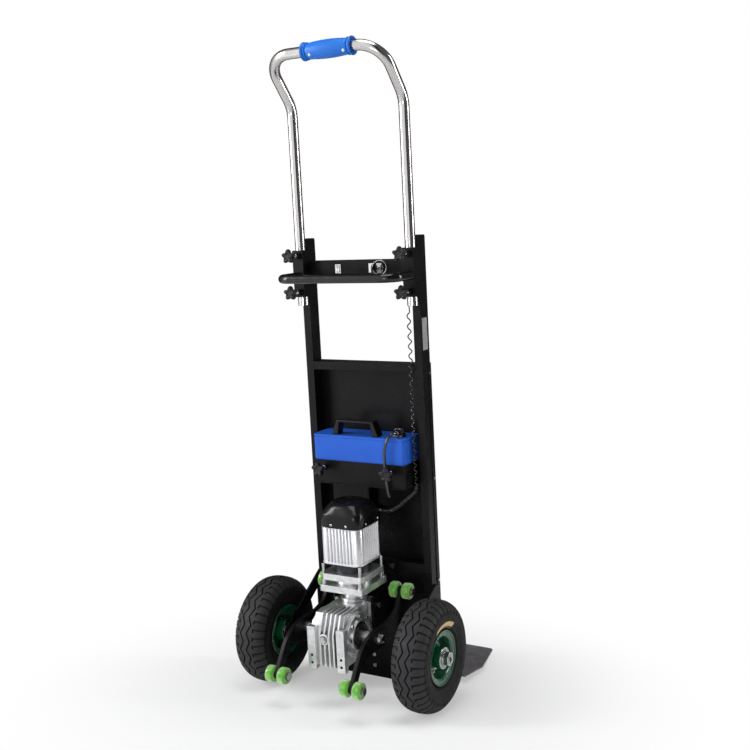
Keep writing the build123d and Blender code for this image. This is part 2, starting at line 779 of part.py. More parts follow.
def gearbox_housing():
    """The cast case: wheel chamber, worm barrel, motor neck, foot rails and cooling ribs."""
    drum_radius, barrel_radius, neck_radius = 54.0, 31.0, 25.0
    barrel_z, cheek_y, cheek_low = (118.0, 251.0), (-112.0, -72.0), 165.0
    side_view = polygon((-229, 121), (-229, 200), (-212, housing_top), (-72, housing_top),
                        (-72, cheek_low), (-110, 122))
    case = side_plate(side_view, (-housing_half, housing_half))
    case += rod_x(drum_radius, (-chamber_half, chamber_half), shaft_y, shaft_z)
    case += both_sides(block((housing_half, cheek_x), cheek_y, (cheek_low, housing_top)))
    case += rod_z(barrel_radius, barrel_z, 0, worm_y)
    case += rod_z(neck_radius, (barrel_z[1], flange_z[0]), 0, worm_y)
    case += both_sides(foot_rail())
    ribs = 5
    for index in range(ribs):
        x = -15 + index * rib_pitch
        case += side_plate(rib_outline(), (x - rib_thickness / 2, x + rib_thickness / 2))
    case += rod_y(11, (rib_y, -228), oil_plug_x, oil_plug_z)
    case -= gearbox_hollow()
    for x in (-40, 40):
        for z in foot_hole_heights:
            case -= rod_y(m7_radius, (rib_y, -225), x, z)
    for x_span in ((-cheek_x - 1, -housing_half), (housing_half, cheek_x + 1)):
        case -= rod_x(m7_radius, x_span, cheek_bolt_y, cheek_bolt_z)
    return case


def gearbox_hollow():
    """What is hollow in the case: wheel chamber, worm barrel, bearing seats and shaft holes."""
    chamber_radius, chamber_inner_half = 56.0, 18.0
    worm_bore, worm_bore_z = 24.0, (136.0, 232.0)
    seats_z, shaft_hole, through_z = (122.0, 250.0), 10.0, (117.0, 276.0)
    x_through = (-chamber_half - 1, chamber_half + 1)
    hollow = rod_x(chamber_radius, (-chamber_inner_half, chamber_inner_half), shaft_y, shaft_z)
    hollow += rod_x(drive_bearing_radius, x_through, shaft_y, shaft_z)
    hollow += rod_z(worm_bore, worm_bore_z, 0, worm_y)
    hollow += rod_z(worm_bearing_radius, seats_z, 0, worm_y)
    return hollow + rod_z(shaft_hole, through_z, 0, worm_y)


def foot_rail():
    """One of the two upright mounting rails on the rear face."""
    return block((29, 50), (rib_y, -226), (114, 216)) + block((34, 46), (-226, -180), (124, 196))


def rib_outline():
    """A cooling rib that stands on the rear face and slants over the top."""
    crest = housing_top + 5
    return polygon((-228, 121), (rib_y, 124), (rib_y, 202), (-222, crest), (-160, crest),
                   (-160, housing_top - 1), (-211, housing_top - 1), (-228, 199))


def gearbox_covers():
    """Flanged rings bolted over the shaft bearings on both sides, open round the shaft."""
    outer, step, inner, lip = 53.0, 38.0, 33.0, 17.0
    plate_x, bolts, bolt_circle, bolt_radius, bolt_height = 51.0, 8, 45.5, 3.2, 3.0
    cover = ring_x(outer, inner, (chamber_half, plate_x), shaft_y, shaft_z)
    cover += ring_x(step, inner, (plate_x, plate_x + 5), shaft_y, shaft_z)
    cover += ring_x(inner, lip, (chamber_half, chamber_half + 2), shaft_y, shaft_z)
    for place in PolarLocations(bolt_circle, bolts):
        y = shaft_y + place.position.X
        z = shaft_z + place.position.Y
        cover += rod_x(bolt_radius, (plate_x, plate_x + bolt_height), y, z)
    return both_sides(cover)


def gearbox_bracket():
    """Welded black bracket: a back plate on the frame and a cheek on each side of the gearbox."""
    half_width, back_z, cheek_z, cheek_rear = 64.0, (150.0, 312.0), (165.0, 252.0), -112.0
    x_span = (cheek_x, cheek_x + cheek_sheet)
    bracket = block((-half_width, half_width), (-cheek_sheet, 0), back_z)
    cheek = block(x_span, (cheek_rear, -cheek_sheet), cheek_z)
    cheek -= rod_x(m7_radius, x_span, cheek_bolt_y, cheek_bolt_z)
    bracket += both_sides(cheek)
    for x in (-bracket_bolt_x, bracket_bolt_x):
        bracket -= rod_y(m7_radius, (-cheek_sheet, 0), x, bracket_bolt_z)
    return bracket


# ---------- climbing arms ----------
def climb_shaft():
    """The slow output shaft through the gearbox, stepped down at both ends for the arms."""
    shaft = rod_x(shaft_radius, (-arm_x[0], arm_x[0]), shaft_y, shaft_z)
    return shaft + rod_x(arm_bore, (-arm_x[1], arm_x[1]), shaft_y, shaft_z)


def arm_edge(side):
    """One long edge of the S-shaped arm: half a sine wave each way, widest at the hub."""
    bow, hub_half, tip_half, hub_spread = 25.0, 28.0, 10.5, 115.0
    points = []
    steps = 14
    for step in range(steps + 1):
        along = arm_reach * (2 * step / steps - 1)
        near_hub = min(abs(along), hub_spread)
        half = tip_half + (hub_half - tip_half) * cos(pi * near_hub / (2 * hub_spread)) ** 2
        points.append((along, -bow * sin(pi * along / arm_reach) + side * half))
    return Spline(points)


def climb_arm(side):
    """An S-shaped steel plate with a roller axle at each end, turned to its rest angle."""
    upper = arm_edge(1)
    lower = arm_edge(-1)
    tip = arm_reach + 11
    front = ThreePointArc(upper @ 1, (tip, 0), lower @ 1)
    rear = ThreePointArc(lower @ 0, (-tip, 0), upper @ 0)
    outline = make_face([upper, front, lower, rear])
    outline -= Circle(arm_bore)
    for along in (-arm_reach, arm_reach):
        outline -= Pos(along, 0) * Circle(roller_bolt_radius)
    x_span = sorted((side * arm_x[0], side * arm_x[1]))
    turned = Rot(0, 0, arm_angle) * outline
    return Pos(0, shaft_y, shaft_z) * side_plate(turned, x_span)


def roller_places():
    """Frame coordinates (y, z) of the lower rear and the upper front roller axles."""
    angle = radians(arm_angle)
    reach_y, reach_z = arm_reach * cos(angle), arm_reach * sin(angle)
    return {"rear": (shaft_y - reach_y, shaft_z - reach_z),
            "front": (shaft_y + reach_y, shaft_z + reach_z)}


def rollers(side, end):
    """The pair of soft rollers, inside and outside the arm, that spin on one axle bolt."""
    y, z = roller_places()[end]
    pair = []
    for low, high in (inner_roller_x, outer_roller_x):
        x_span = sorted((side * low, side * high))
        pair.append(ring_x(roller_radius, bush_radius + running, x_span, y, z))
    return pair[0] + pair[1]


def roller_bushes():
    """Plain bearing sleeves that the rollers run on, one in each roller."""
    bushes = None
    for y, z in roller_places().values():
        outer_x = (arm_x[1], outer_roller_x[1] + slack)
        inner_x = (inner_roller_x[0] - slack, arm_x[0])
        outer = ring_x(bush_radius, roller_bolt_radius, outer_x, y, z)
        inner = ring_x(bush_radius, roller_bolt_radius, inner_x, y, z)
        four = both_sides(outer + inner)
        bushes = four if bushes is None else bushes + four
    return bushes


def climber_bolts():
    """The four roller axle bolts with their nuts, and the two hub bolts with large washers."""
    head_x = outer_roller_x[1] + slack
    nut_x = inner_roller_x[0] - slack
    across_flats, head_height, nut_height = 16.0, 4.5, 6.0
    bolts = both_sides(hub_bolt())
    for y, z in roller_places().values():
        bolt = rod_x(roller_bolt_radius, (nut_x - nut_height, head_x), y, z)
        bolt += hex_x(across_flats, (head_x, head_x + head_height), y, z)
        bolt += hex_x(across_flats, (nut_x - nut_height, nut_x), y, z)
        bolts += both_sides(bolt)
    return bolts


def hub_bolt():
    washer_radius, washer_height, across_flats, head_height = 15.0, 2.5, 18.0, 7.5
    head_x = arm_x[1] + washer_height
    washer = rod_x(washer_radius, (arm_x[1], head_x), shaft_y, shaft_z)
    return washer + hex_x(across_flats, (head_x, head_x + head_height), shaft_y, shaft_z)


# ---------- road wheels ----------
def wheel_brackets():
    """Triangular side plates from each upright back to the stub axle."""
    axle = (axle_y, axle_z)
    top, foot, elbow = (10, 246), (10, 66), (-112, 172)
    thickness, eye_radius, boss_outer = 6.0, 30.0, 19.0
    outline = capsule(top, elbow, 15) + capsule(foot, axle, 13)
    outline += capsule(foot, top, 15) + capsule(elbow, axle, 20)
    outline += Pos(*axle) * Circle(eye_radius)
    bracket = side_plate(outline, (panel_half, panel_half + thickness))
    bracket += rod_x(boss_outer, axle_boss_x, *axle)
    return both_sides(bracket - rod_x(axle_radius, axle_boss_x, *axle))


def stub_axles():
    """A headed steel axle for each wheel, with the spacer between bracket and bearing."""
    y, z = axle_y, axle_z
    axle_end, head_height, head_flats, spacer_radius = 269.0, 5.0, 27.0, 13.5
    inner, outer = axle_boss_x
    axle = rod_x(axle_radius, (inner, axle_end), y, z)
    axle += hex_x(head_flats, (inner - head_height, inner), y, z)
    spacer = ring_x(spacer_radius, axle_radius, (outer, wheel_x - hub_half), y, z)
    return both_sides(axle + spacer)


def rim(side):
    """A pressed wheel: tyre barrel with flanges, a dished web and the hub tube."""
    hub_radius, barrel, flange, flange_half_width = 25.0, 50.0, 63.0, 32.0
    rim_sheet, web_inner, web_outer = 2.5, 8.0, -6.0
    bore = wheel_bearing_radius + running
    inside = barrel - rim_sheet
    flange_low = flange_half_width - rim_sheet
    shape = block_ring(bore, hub_radius, -hub_half, hub_half)
    shape += block_ring(inside, barrel, -flange_low - slack, flange_low + slack)
    shape += block_ring(inside, flange, -flange_half_width, -flange_low)
    shape += block_ring(inside, flange, flange_low, flange_half_width)
    web = polygon((hub_radius - 1, web_inner), (barrel - 1, web_outer),
                  (barrel - 1, web_outer - 3), (hub_radius - 1, web_inner - 3))
    return wheel_solid(shape + web, side)


def block_ring(inner, outer, low, high):
    """A rectangle in the wheel's half section: radius along x, outward along y."""
    return Pos((inner + outer) / 2, (low + high) / 2) * Rectangle(outer - inner, high - low)


def wheel_solid(section, side):
    """Turns a half section round the wheel's axle and stands it on the given side."""
    solid = revolve(Plane.XY * section, Axis.Y)
    outward = Rot(0, 0, -90 * side)
    return Pos(side * wheel_x, axle_y, axle_z) * outward * solid


def tyre(side):
    """A pneumatic tyre: round sidewalls on the rim's beads, a flatter crown and an air space."""
    half_width = wheel_width / 2
    outside = Spline((65, 28.5), (75, 37), (94, half_width), (113, 39.5), (122, 33), (127.6, 18),
                     (wheel_radius, 0))
    inside = Spline((60, 20), (70, 30), (93, 35.5), (111, 32), (120, 16), (121.5, 0))
    bead = Polyline((65, 28.5), (50.2, 28.5), (50.2, 20), (60, 20))
    crown = Line((wheel_radius, 0), (121.5, 0))
    half_section = make_face([outside, crown, inside, bead])
    section = half_section + mirror(half_section, about=Plane.XZ)
    return wheel_solid(section, side)


# ---------- bearings and fasteners ----------
def ball_bearings():
    """Every ball bearing that sits in or on a fixed part: drive shaft, worm shaft and axles."""
    width = 12.0
    core = shaft_core + running
    drive_x_span = (20, 20 + width)
    drive = both_sides(ring_x(drive_bearing_radius, shaft_radius + running, drive_x_span,
                              shaft_y, shaft_z))
    for low in (124, 236):
        drive += ring_z(worm_bearing_radius, core, (low, low + width), 0, worm_y)
    drive += ring_z(top_bearing_radius, core, (cap_z[0] + 3, cap_z[0] + 13), 0, worm_y)
    bearings = on_drive(drive)
    for low in (wheel_x - hub_half, wheel_x + hub_half - width):
        ring = ring_x(wheel_bearing_radius, axle_radius, (low, low + width), axle_y, axle_z)
        bearings += both_sides(ring)
    return bearings


def axle_nut():
    """The washer and nut on a stub axle's outer end."""
    washer_radius, washer_height, across_flats, nut_height = 17.0, 3.0, 30.0, 12.0
    washer_x = (wheel_x + hub_half, wheel_x + hub_half + washer_height)
    nut_x = (washer_x[1], washer_x[1] + nut_height)
    washer = ring_x(washer_radius, axle_radius, washer_x, axle_y, axle_z)
    nut = hex_x(across_flats, nut_x, axle_y, axle_z)
    return washer + nut - rod_x(axle_radius, nut_x, axle_y, axle_z)


def panel_screw(z):
    """A screw through the panel's flange into the upright."""
    shank, head_radius, head_height = 6.0, 4.0, 2.2
    screw = rod_x(panel_screw_shank, (sheet_half - shank, sheet_half), panel_screw_y, z)
    return screw + rod_x(head_radius, (sheet_half, sheet_half + head_height), panel_screw_y, z)


def frame_fasteners():
    """Axle nuts and washers, panel screws, motor studs, oil plug and the bracket's bolts."""
    stud_nut_radius, heel_head, bolt_head, plug_radius = 6.5, 5.0, 4.0, 8.0
    loose = both_sides(axle_nut())
    for z in panel_screw_heights:
        loose += both_sides(panel_screw(z))
    for place in GridLocations(stud_pitch, stud_pitch, 2, 2):
        x, y = place.position.X + drive_x, place.position.Y + worm_y
        loose += rod_z(stud_hole_radius, (flange_z[0] - 4, body_z[0]), x, y)
        loose += rod_z(stud_nut_radius, (flange_z[1], bell_ring_low), x, y)
    for z in heel_bolt_heights:
        loose += rod_y(heel_bolt_radius, (0, plate_sheet), heel_bolt_x, z)
        loose += rod_y(heel_head, (-3, 0), heel_bolt_x, z)
    back = -cheek_sheet
    for x in (drive_x - bracket_bolt_x, drive_x + bracket_bolt_x):
        loose += rod_y(m7_radius, (back, 0), x, bracket_bolt_z)
        loose += rod_y(m7_head_radius, (back - bolt_head, back), x, bracket_bolt_z)
    outer = cheek_x + cheek_sheet
    cheek = rod_x(m7_radius, (housing_half + 2, outer), cheek_bolt_y, cheek_bolt_z)
    cheek += rod_x(m7_head_radius, (outer, outer + bolt_head), cheek_bolt_y, cheek_bolt_z)
    plug = rod_y(plug_radius, (rib_y - 5, rib_y), oil_plug_x, oil_plug_z)
    return loose + on_drive(both_sides(cheek) + plug)


# ---------- the parts ----------
PARTS = {
    "upright_left": upright(-1),
    "upright_right": upright(1),
    "upright_caps": upright_caps(),
    "frame_crossbars": frame_crossbars(),
    "front_panel": front_panel(),
    "lower_plate": lower_plate(),
    "toe_plate": toe_plate(),
    "toe_hinge_pin": toe_hinge_pin(),
    "clamp_sleeves": clamp_sleeves(),
    "handle_tube": handle_tube(),
    "handle_ferrules": handle_ferrules(),
    "handle_grip": handle_grip(),
    "u_bar": u_bar(),
    "control_box": control_box(),
    "rocker_bezel": rocker_bezel(),
    "rocker_switch": rocker_switch(),
    "key_switch": key_switch(),
    "ignition_key": ignition_key(),
    "handle_knob_upper_left": handle_knob(-1, "upper"),
    "handle_knob_upper_right": handle_knob(1, "upper"),
    "handle_knob_lower_left": handle_knob(-1, "lower"),
    "handle_knob_lower_right": handle_knob(1, "lower"),
    "battery_knob_left": battery_knob(-1),
    "battery_knob_right": battery_knob(1),
    "battery_case": battery_case(),
    "battery_lid": battery_lid(),
    "battery_cells": battery_cells(),
    "battery_handle": battery_handle(),
    "battery_lead": battery_lead(),
    "battery_tray": battery_tray(),
    "controller_box": controller_box(),
    "coil_cord": coil_cord(),
    "motor_cap": on_drive(motor_cap()),
    "motor_body": on_drive(motor_body()),
    "stator": on_drive(stator()),
    "motor_end_bell": on_drive(motor_end_bell()),
    "motor_flange": on_drive(motor_flange()),
    "rotor": on_drive(rotor()),
    "worm_shaft": on_drive(worm_shaft()),
    "worm_wheel": on_drive(worm_wheel()),
    "gearbox_housing": on_drive(gearbox_housing()),
    "gearbox_covers": on_drive(gearbox_covers()),
    "gearbox_bracket": on_drive(gearbox_bracket()),
    "climb_shaft": on_drive(climb_shaft()),
    "climb_arm_left": on_drive(climb_arm(-1)),
    "climb_arm_right": on_drive(climb_arm(1)),
    "climber_bolts": on_drive(climber_bolts()),
    "roller_bushes": on_drive(roller_bushes()),
    "rollers_rear_left": on_drive(rollers(-1, "rear")),
    "rollers_front_left": on_drive(rollers(-1, "front")),
    "rollers_rear_right": on_drive(rollers(1, "rear")),
    "rollers_front_right": on_drive(rollers(1, "front")),
    "rim_left": rim(-1),
    "rim_right": rim(1),
    "tyre_left": tyre(-1),
    "tyre_right": tyre(1),
    "wheel_brackets": wheel_brackets(),
    "stub_axles": stub_axles(),
    "ball_bearings": ball_bearings(),
    "frame_fasteners": frame_fasteners(),
}

for name, shape in PARTS.items():
    export_step(STANCE * shape, f"parts/{name}.step")
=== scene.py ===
"""Looks for a powered stair climbing trolley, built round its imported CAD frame.

Metres, in the CAD's own frame: +X to the operator's right, +Y forward, +Z up. The trolley stands
leaning back, so most pieces are laid out in leaning axes (z along the uprights) and are turned
into the frame's axes when their mesh is made.
"""

import json
from math import copysign, cos, hypot, pi, radians, sin, sqrt

import bmesh
import bpy
from mathutils import Matrix, Vector


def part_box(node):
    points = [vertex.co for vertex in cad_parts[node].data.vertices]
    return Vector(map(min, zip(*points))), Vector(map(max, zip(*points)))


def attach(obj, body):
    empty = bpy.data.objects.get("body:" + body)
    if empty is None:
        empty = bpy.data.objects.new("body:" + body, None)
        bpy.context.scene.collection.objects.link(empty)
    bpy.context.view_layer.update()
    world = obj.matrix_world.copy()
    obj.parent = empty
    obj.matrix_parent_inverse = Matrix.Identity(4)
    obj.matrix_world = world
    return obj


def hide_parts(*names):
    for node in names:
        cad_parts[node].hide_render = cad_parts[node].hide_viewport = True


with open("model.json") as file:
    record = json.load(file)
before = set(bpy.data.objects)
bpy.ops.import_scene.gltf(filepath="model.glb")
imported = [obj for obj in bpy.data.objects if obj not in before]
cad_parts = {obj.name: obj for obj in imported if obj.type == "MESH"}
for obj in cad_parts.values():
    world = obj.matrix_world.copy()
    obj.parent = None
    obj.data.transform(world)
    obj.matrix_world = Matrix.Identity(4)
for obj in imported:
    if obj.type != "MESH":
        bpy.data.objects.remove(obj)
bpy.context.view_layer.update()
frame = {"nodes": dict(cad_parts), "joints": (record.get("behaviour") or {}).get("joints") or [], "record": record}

MM = 0.001
X = Vector((1, 0, 0))
Y = Vector((0, 1, 0))
Z = Vector((0, 0, 1))
SIDES = {"left": -1, "right": 1}
JOINTS = {joint["name"]: joint for joint in frame["joints"]}


# ---------- leaning axes and places taken from the frame ----------
def leaning_axes():
    """The rotation from leaning axes, with z along the sliding handle, to the frame's axes."""
    up = Vector(JOINTS["handle_slide"]["axis"]).normalized()
    forward = up.cross(X)
    return Matrix((X, forward, up)).transposed().to_4x4()


LEAN = leaning_axes()
UNLEAN = LEAN.inverted()
UPRIGHT = Matrix.Identity(4)


def lean_box(node):
    """Lowest and highest corner of a CAD node along the leaning axes."""
    points = [UNLEAN @ vertex.co for vertex in frame["nodes"][node].data.vertices]
    low = Vector([min(point[axis] for point in points) for axis in range(3)])
    high = Vector([max(point[axis] for point in points) for axis in range(3)])
    return low, high


def middle_and_half(corners):
    """The middle of a box and the vector from there to its highest corner."""
    low, high = corners
    return (low + high) / 2, (high - low) / 2


def frame_origin():
    """The leaning axes' own zero: middle of the machine, rear face of the uprights, heel."""
    plate = lean_box("lower_plate")[0]
    rail = lean_box("upright_right")[0]
    return Vector((0, rail.y, plate.z))


ORIGIN = frame_origin()


def at(x, y, z):
    """A point given in millimetres from the frame's own zero."""
    return ORIGIN + Vector((x, y, z)) * MM


def polar(radius, angle, height=0.0):
    """A point by its distance from local z, its angle in radians and its height."""
    return Vector((radius * cos(angle), radius * sin(angle), height))


def mm(*pairs):
    """Pairs given in millimetres, as metres."""
    return [(first * MM, second * MM) for first, second in pairs]


def shift(x, y, z):
    """The matrix that moves by millimetres along its own axes."""
    return Matrix.Translation(Vector((x, y, z)) * MM)


def spin(degrees, axis="Z"):
    """The matrix that turns round one of its own axes."""
    return Matrix.Rotation(radians(degrees), 4, axis)


# ---------- mesh building ----------
def aim(point, direction):
    """The matrix that puts a local origin at the point with local z along the direction."""
    return Matrix.Translation(point) @ direction.to_track_quat("Z", "Y").to_matrix().to_4x4()


def bridge(bm, rings, closed_ring=True, material=0):
    """Quads between neighbouring rings of vertices. A ring of one vertex becomes a fan."""
    for first, second in zip(rings[:-1], rings[1:]):
        count = max(len(first), len(second))
        for index in range(count if closed_ring else count - 1):
            after = (index + 1) % count
            corners = [first[index % len(first)], first[after % len(first)],
                       second[after % len(second)], second[index % len(second)]]
            face = bm.faces.new(list(dict.fromkeys(corners)))
            face.material_index = material


def lathe(bm, profile, place, segments=48, material=0, closed=False):
    """Turns a profile of (radius, height) round local z. A radius of 0 closes to a point."""
    rings = []
    for radius, height in profile:
        if radius < 1e-7:
            rings.append([bm.verts.new(place @ Vector((0, 0, height)))])
            continue
        rings.append([bm.verts.new(place @ polar(radius, 2 * pi * index / segments, height))
                      for index in range(segments)])
    if closed:
        rings.append(rings[0])
    bridge(bm, rings, material=material)


def stack(bm, outlines, place, material=0):
    """Joins closed flat outlines of equal length, given as (points, height), and caps both ends."""
    rings = [[bm.verts.new(place @ Vector((x, y, height))) for x, y in points]
             for points, height in outlines]
    bridge(bm, rings, material=material)
    for ring in (rings[0], rings[-1]):
        bm.faces.new(ring).material_index = material


def loft(bm, outline, levels, place, material=0):
    """Stacks scaled copies of one outline: levels are (scale, height)."""
    outlines = [([(x * scale, y * scale) for x, y in outline], height) for scale, height in levels]
    stack(bm, outlines, place, material)


def tube(bm, points, radius, segments=12, material=0):
    """A round bar with capped ends along a line of points, without twist."""
    direction = (points[1] - points[0]).normalized()
    side = direction.orthogonal().normalized()
    rings = []
    for index, point in enumerate(points):
        before = points[max(index - 1, 0)]
        after = points[min(index + 1, len(points) - 1)]
        direction = (after - before).normalized()
        side = (side - direction * side.dot(direction)).normalized()
        other = direction.cross(side)
        ring = []
        for step in range(segments):
            angle = 2 * pi * step / segments
            offset = side * cos(angle) + other * sin(angle)
            ring.append(bm.verts.new(point + offset * radius))
        rings.append(ring)
    bridge(bm, rings, material=material)
    for ring in (rings[0], rings[-1]):
        bm.faces.new(ring).material_index = material


def slab(bm, low, high):
    """A box between two corners."""
    outline = [(high.x, low.y), (high.x, high.y), (low.x, high.y), (low.x, low.y)]
    stack(bm, [(outline, low.z), (outline, high.z)], UPRIGHT)


def rounded_rectangle(half_x, half_y, corner, steps=5):
    """Outline points of a rectangle about the origin, with round corners."""
    points = []
    for quarter, (sign_x, sign_y) in enumerate(((1, 1), (-1, 1), (-1, -1), (1, -1))):
        for step in range(steps + 1):
            angle = radians(90 * quarter + 90 * step / steps)
            points.append((sign_x * (half_x - corner) + corner * cos(angle),
                           sign_y * (half_y - corner) + corner * sin(angle)))
    return points


def superellipse(half, power, angles):
    """Outline points of a rounded square at the given angles; a higher power is squarer."""
    points = []
    for angle in angles:
        across, along = cos(angle), sin(angle)
        reach = half / (abs(across) ** power + abs(along) ** power) ** (1 / power)
        points.append((reach * across, reach * along))
    return points


def hexagon(across):
    return [polar(across / sqrt(3), radians(60 * index)).xy for index in range(6)]


def hex_head(bm, place, across, height, material=0, washer=0.0):
    """A bolt head or nut with chamfered corners, on a washer if its radius is given."""
    start = 0.0
    if washer:
        start = 1.6 * MM
        rim = 0.3 * MM
        lathe(bm, [(0, 0), (washer, 0), (washer, start - rim), (washer - rim, start), (0, start)],
              place, 32, material)
    levels = [(0.985, start), (1, start + 0.05 * height), (1, start + 0.86 * height),
              (0.88, start + height)]
    loft(bm, hexagon(across), levels, place, material)


def piece(name, bm, body, finishes, replaces=(), axes=LEAN, bevel=0.0, smooth=35):
    """Makes an object from the mesh, puts it in the frame's axes and has it ride on a body."""
    bmesh.ops.remove_doubles(bm, verts=bm.verts, dist=1e-7)
    bmesh.ops.recalc_face_normals(bm, faces=bm.faces)
    mesh = bpy.data.meshes.new(name)
    bm.to_mesh(mesh)
    bm.free()
    mesh.transform(axes)
    mesh.shade_smooth()
    mesh.set_sharp_from_angle(angle=radians(smooth))
    for finish in finishes:
        mesh.materials.append(FINISHES[finish])
    made = bpy.data.objects.new(name, mesh)
    bpy.context.scene.collection.objects.link(made)
    if bevel:
        soften(made, bevel)
    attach(made, body)
    if replaces:
        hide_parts(*replaces)
    return made


def soften(made, width):
    """Rounds the object's sharp edges with modifiers."""
    rounding = made.modifiers.new("rounding", "BEVEL")
    rounding.width = width
    rounding.segments = 2
    rounding.limit_method = "ANGLE"
    rounding.angle_limit = radians(38)
    rounding.use_clamp_overlap = True
    normals = made.modifiers.new("normals", "WEIGHTED_NORMAL")
    normals.keep_sharp = True


# ---------- material nodes ----------
class Finish:
    """A procedural material under construction: its nodes, links and main shader."""

    def __init__(self, name):
        self.material = bpy.data.materials.new(name)
        self.material.use_nodes = True
        self.nodes = self.material.node_tree.nodes
        self.links = self.material.node_tree.links
        self.shader = self.nodes["Principled BSDF"]
        self.place = self.nodes.new("ShaderNodeTexCoord").outputs["Object"]

    def put(self, socket, value):
        """Sets a shader input to a number or colour, or links it."""
        target = self.shader.inputs[socket] if isinstance(socket, str) else socket
        if isinstance(value, bpy.types.NodeSocket):
            self.links.new(value, target)
        elif target.type == "RGBA":
            target.default_value = (*value, 1.0)
        else:
            target.default_value = value

    def stretched(self, scale):
        """Object coordinates in leaning axes, scaled along each axis."""
        turn = self.nodes.new("ShaderNodeMapping")
        turn.vector_type = "POINT"
        turn.inputs["Rotation"].default_value = UNLEAN.to_euler()
        self.links.new(self.place, turn.inputs["Vector"])
        spread = self.nodes.new("ShaderNodeMapping")
        spread.inputs["Scale"].default_value = scale
        self.links.new(turn.outputs[0], spread.inputs["Vector"])
        return spread.outputs[0]

    def noise(self, scale, detail=4.0, rough=0.55, stretch=None):
        """Grey noise; the scale is features per metre."""
        node = self.nodes.new("ShaderNodeTexNoise")
        node.inputs["Scale"].default_value = scale
        node.inputs["Detail"].default_value = detail
        node.inputs["Roughness"].default_value = rough
        self.links.new(self.stretched(stretch) if stretch else self.place, node.inputs["Vector"])
        return node.outputs["Fac"]

    def cells(self, scale):
        """Distances inside a field of cells, for pits and specks."""
        node = self.nodes.new("ShaderNodeTexVoronoi")
        node.inputs["Scale"].default_value = scale
        self.links.new(self.place, node.inputs["Vector"])
        return node.outputs["Distance"]

    def painted_shade_openness(self, reach, low=0.35, high=0.9):
        """A factor that is 0 deep in a recess and 1 in the open, for painting shade into recesses."""
        node = self.nodes.new("ShaderNodeAmbientOcclusion")
        node.samples = 6
        node.inputs["Distance"].default_value = reach
        return self.remap(node.outputs["AO"], low, high)

    def remap(self, value, low, high, to_low=0.0, to_high=1.0):
        node = self.nodes.new("ShaderNodeMapRange")
        self.links.new(value, node.inputs["Value"])
        for socket, number in zip(("From Min", "From Max", "To Min", "To Max"),
                                  (low, high, to_low, to_high)):
            node.inputs[socket].default_value = number
        return node.outputs["Result"]

    def blend(self, factor, first, second):
        """Mixes two colours by a factor."""
        node = self.nodes.new("ShaderNodeMix")
        node.data_type = "RGBA"
        self.put(node.inputs[0], factor)
        self.put(node.inputs[6], first)
        self.put(node.inputs[7], second)
        return node.outputs[2]

    def maths(self, operation, first, second):
        node = self.nodes.new("ShaderNodeMath")
        node.operation = operation
        self.put(node.inputs[0], first)
        self.put(node.inputs[1], second)
        return node.outputs[0]

    def add(self, first, second):
        return self.maths("ADD", first, second)

    def times(self, first, second):
        return self.maths("MULTIPLY", first, second)

    def mottle(self, scale, detail, dark, light, low=0.3, high=0.7):
        """Two colours mixed in cloudy patches."""
        return self.blend(self.remap(self.noise(scale, detail), low, high), dark, light)

    def rough(self, scale, detail, smoothest, roughest, high=0.7):
        """Uneven roughness between two values."""
        self.put("Roughness", self.remap(self.noise(scale, detail), 0.3, high, smoothest, roughest))

    def grain(self, scale, detail, depth, strength, rounded=None):
        """Fine relief with a depth in millimetres."""
        self.put("Normal", self.bump(self.noise(scale, detail), depth * MM, strength, rounded))

    def edges(self, radius):
        """Normals rounded over sharp edges, and a factor that is 1 on those edges."""
        rounded = self.nodes.new("ShaderNodeBevel")
        rounded.samples = 4
        rounded.inputs["Radius"].default_value = radius
        flat = self.nodes.new("ShaderNodeNewGeometry")
        dot = self.nodes.new("ShaderNodeVectorMath")
        dot.operation = "DOT_PRODUCT"
        self.links.new(rounded.outputs[0], dot.inputs[0])
        self.links.new(flat.outputs["Normal"], dot.inputs[1])
        return rounded.outputs[0], self.remap(dot.outputs["Value"], 0.97, 0.80)

    def bump(self, height, depth, strength=1.0, normal=None):
        """Relief of the given depth in metres, on top of another normal if one is given."""
        node = self.nodes.new("ShaderNodeBump")
        node.inputs["Strength"].default_value = strength
        node.inputs["Distance"].default_value = depth
        self.links.new(height, node.inputs["Height"])
        if normal is not None:
            self.links.new(normal, node.inputs["Normal"])
        return node.outputs[0]


def powder_coat(name="powder_coat", rough=0.30, shine=0.15):
    """Satin black powder coat: orange peel, uneven sheen, and lighter edges on the corners that are part wear and
    part painted highlight.
    """
    look = Finish(name)
    rounded, on_edge = look.edges(1.0 * MM)
    # lighter patches on the edges: part wear, part painted highlight
    wear_and_edge_highlight = look.times(on_edge, look.remap(look.noise(90, 6), 0.42, 0.62))
    black = look.mottle(14, 5, (0.0032, 0.0029, 0.0034), (0.0058, 0.0052, 0.0062), 0.35)
    look.put("Base Color", look.blend(look.times(wear_and_edge_highlight, 0.45), black, (0.10, 0.095, 0.10)))
    look.rough(45, 6, rough - 0.05, rough + 0.08, 0.75)
    look.put("Specular IOR Level", shine)
    look.grain(900, 2, 0.03, 0.3, rounded)
    return look.material


def brushed(name, colour, rough, stretch):
    """Bright metal with fine streaks along one leaning axis, paler on its sharp edges as a painted highlight."""
    look = Finish(name)
    rounded, on_edge = look.edges(0.5 * MM)
    streaks = look.noise(1, 6, 0.6, stretch)
    shade = look.remap(streaks, 0.3, 0.7, 0.88, 1.0)
    tint = look.blend(shade, tuple(0.55 * part for part in colour), colour)
    # painted highlight: sharp edges blended towards near white
    look.put("Base Color", look.blend(look.times(on_edge, 0.5), tint, (0.9, 0.9, 0.9)))
    look.put("Metallic", 1.0)
    look.rough(30, 5, rough * 0.8, rough * 1.25)
    look.put("Normal", look.bump(streaks, 0.02 * MM, 0.25, rounded))
    return look.material


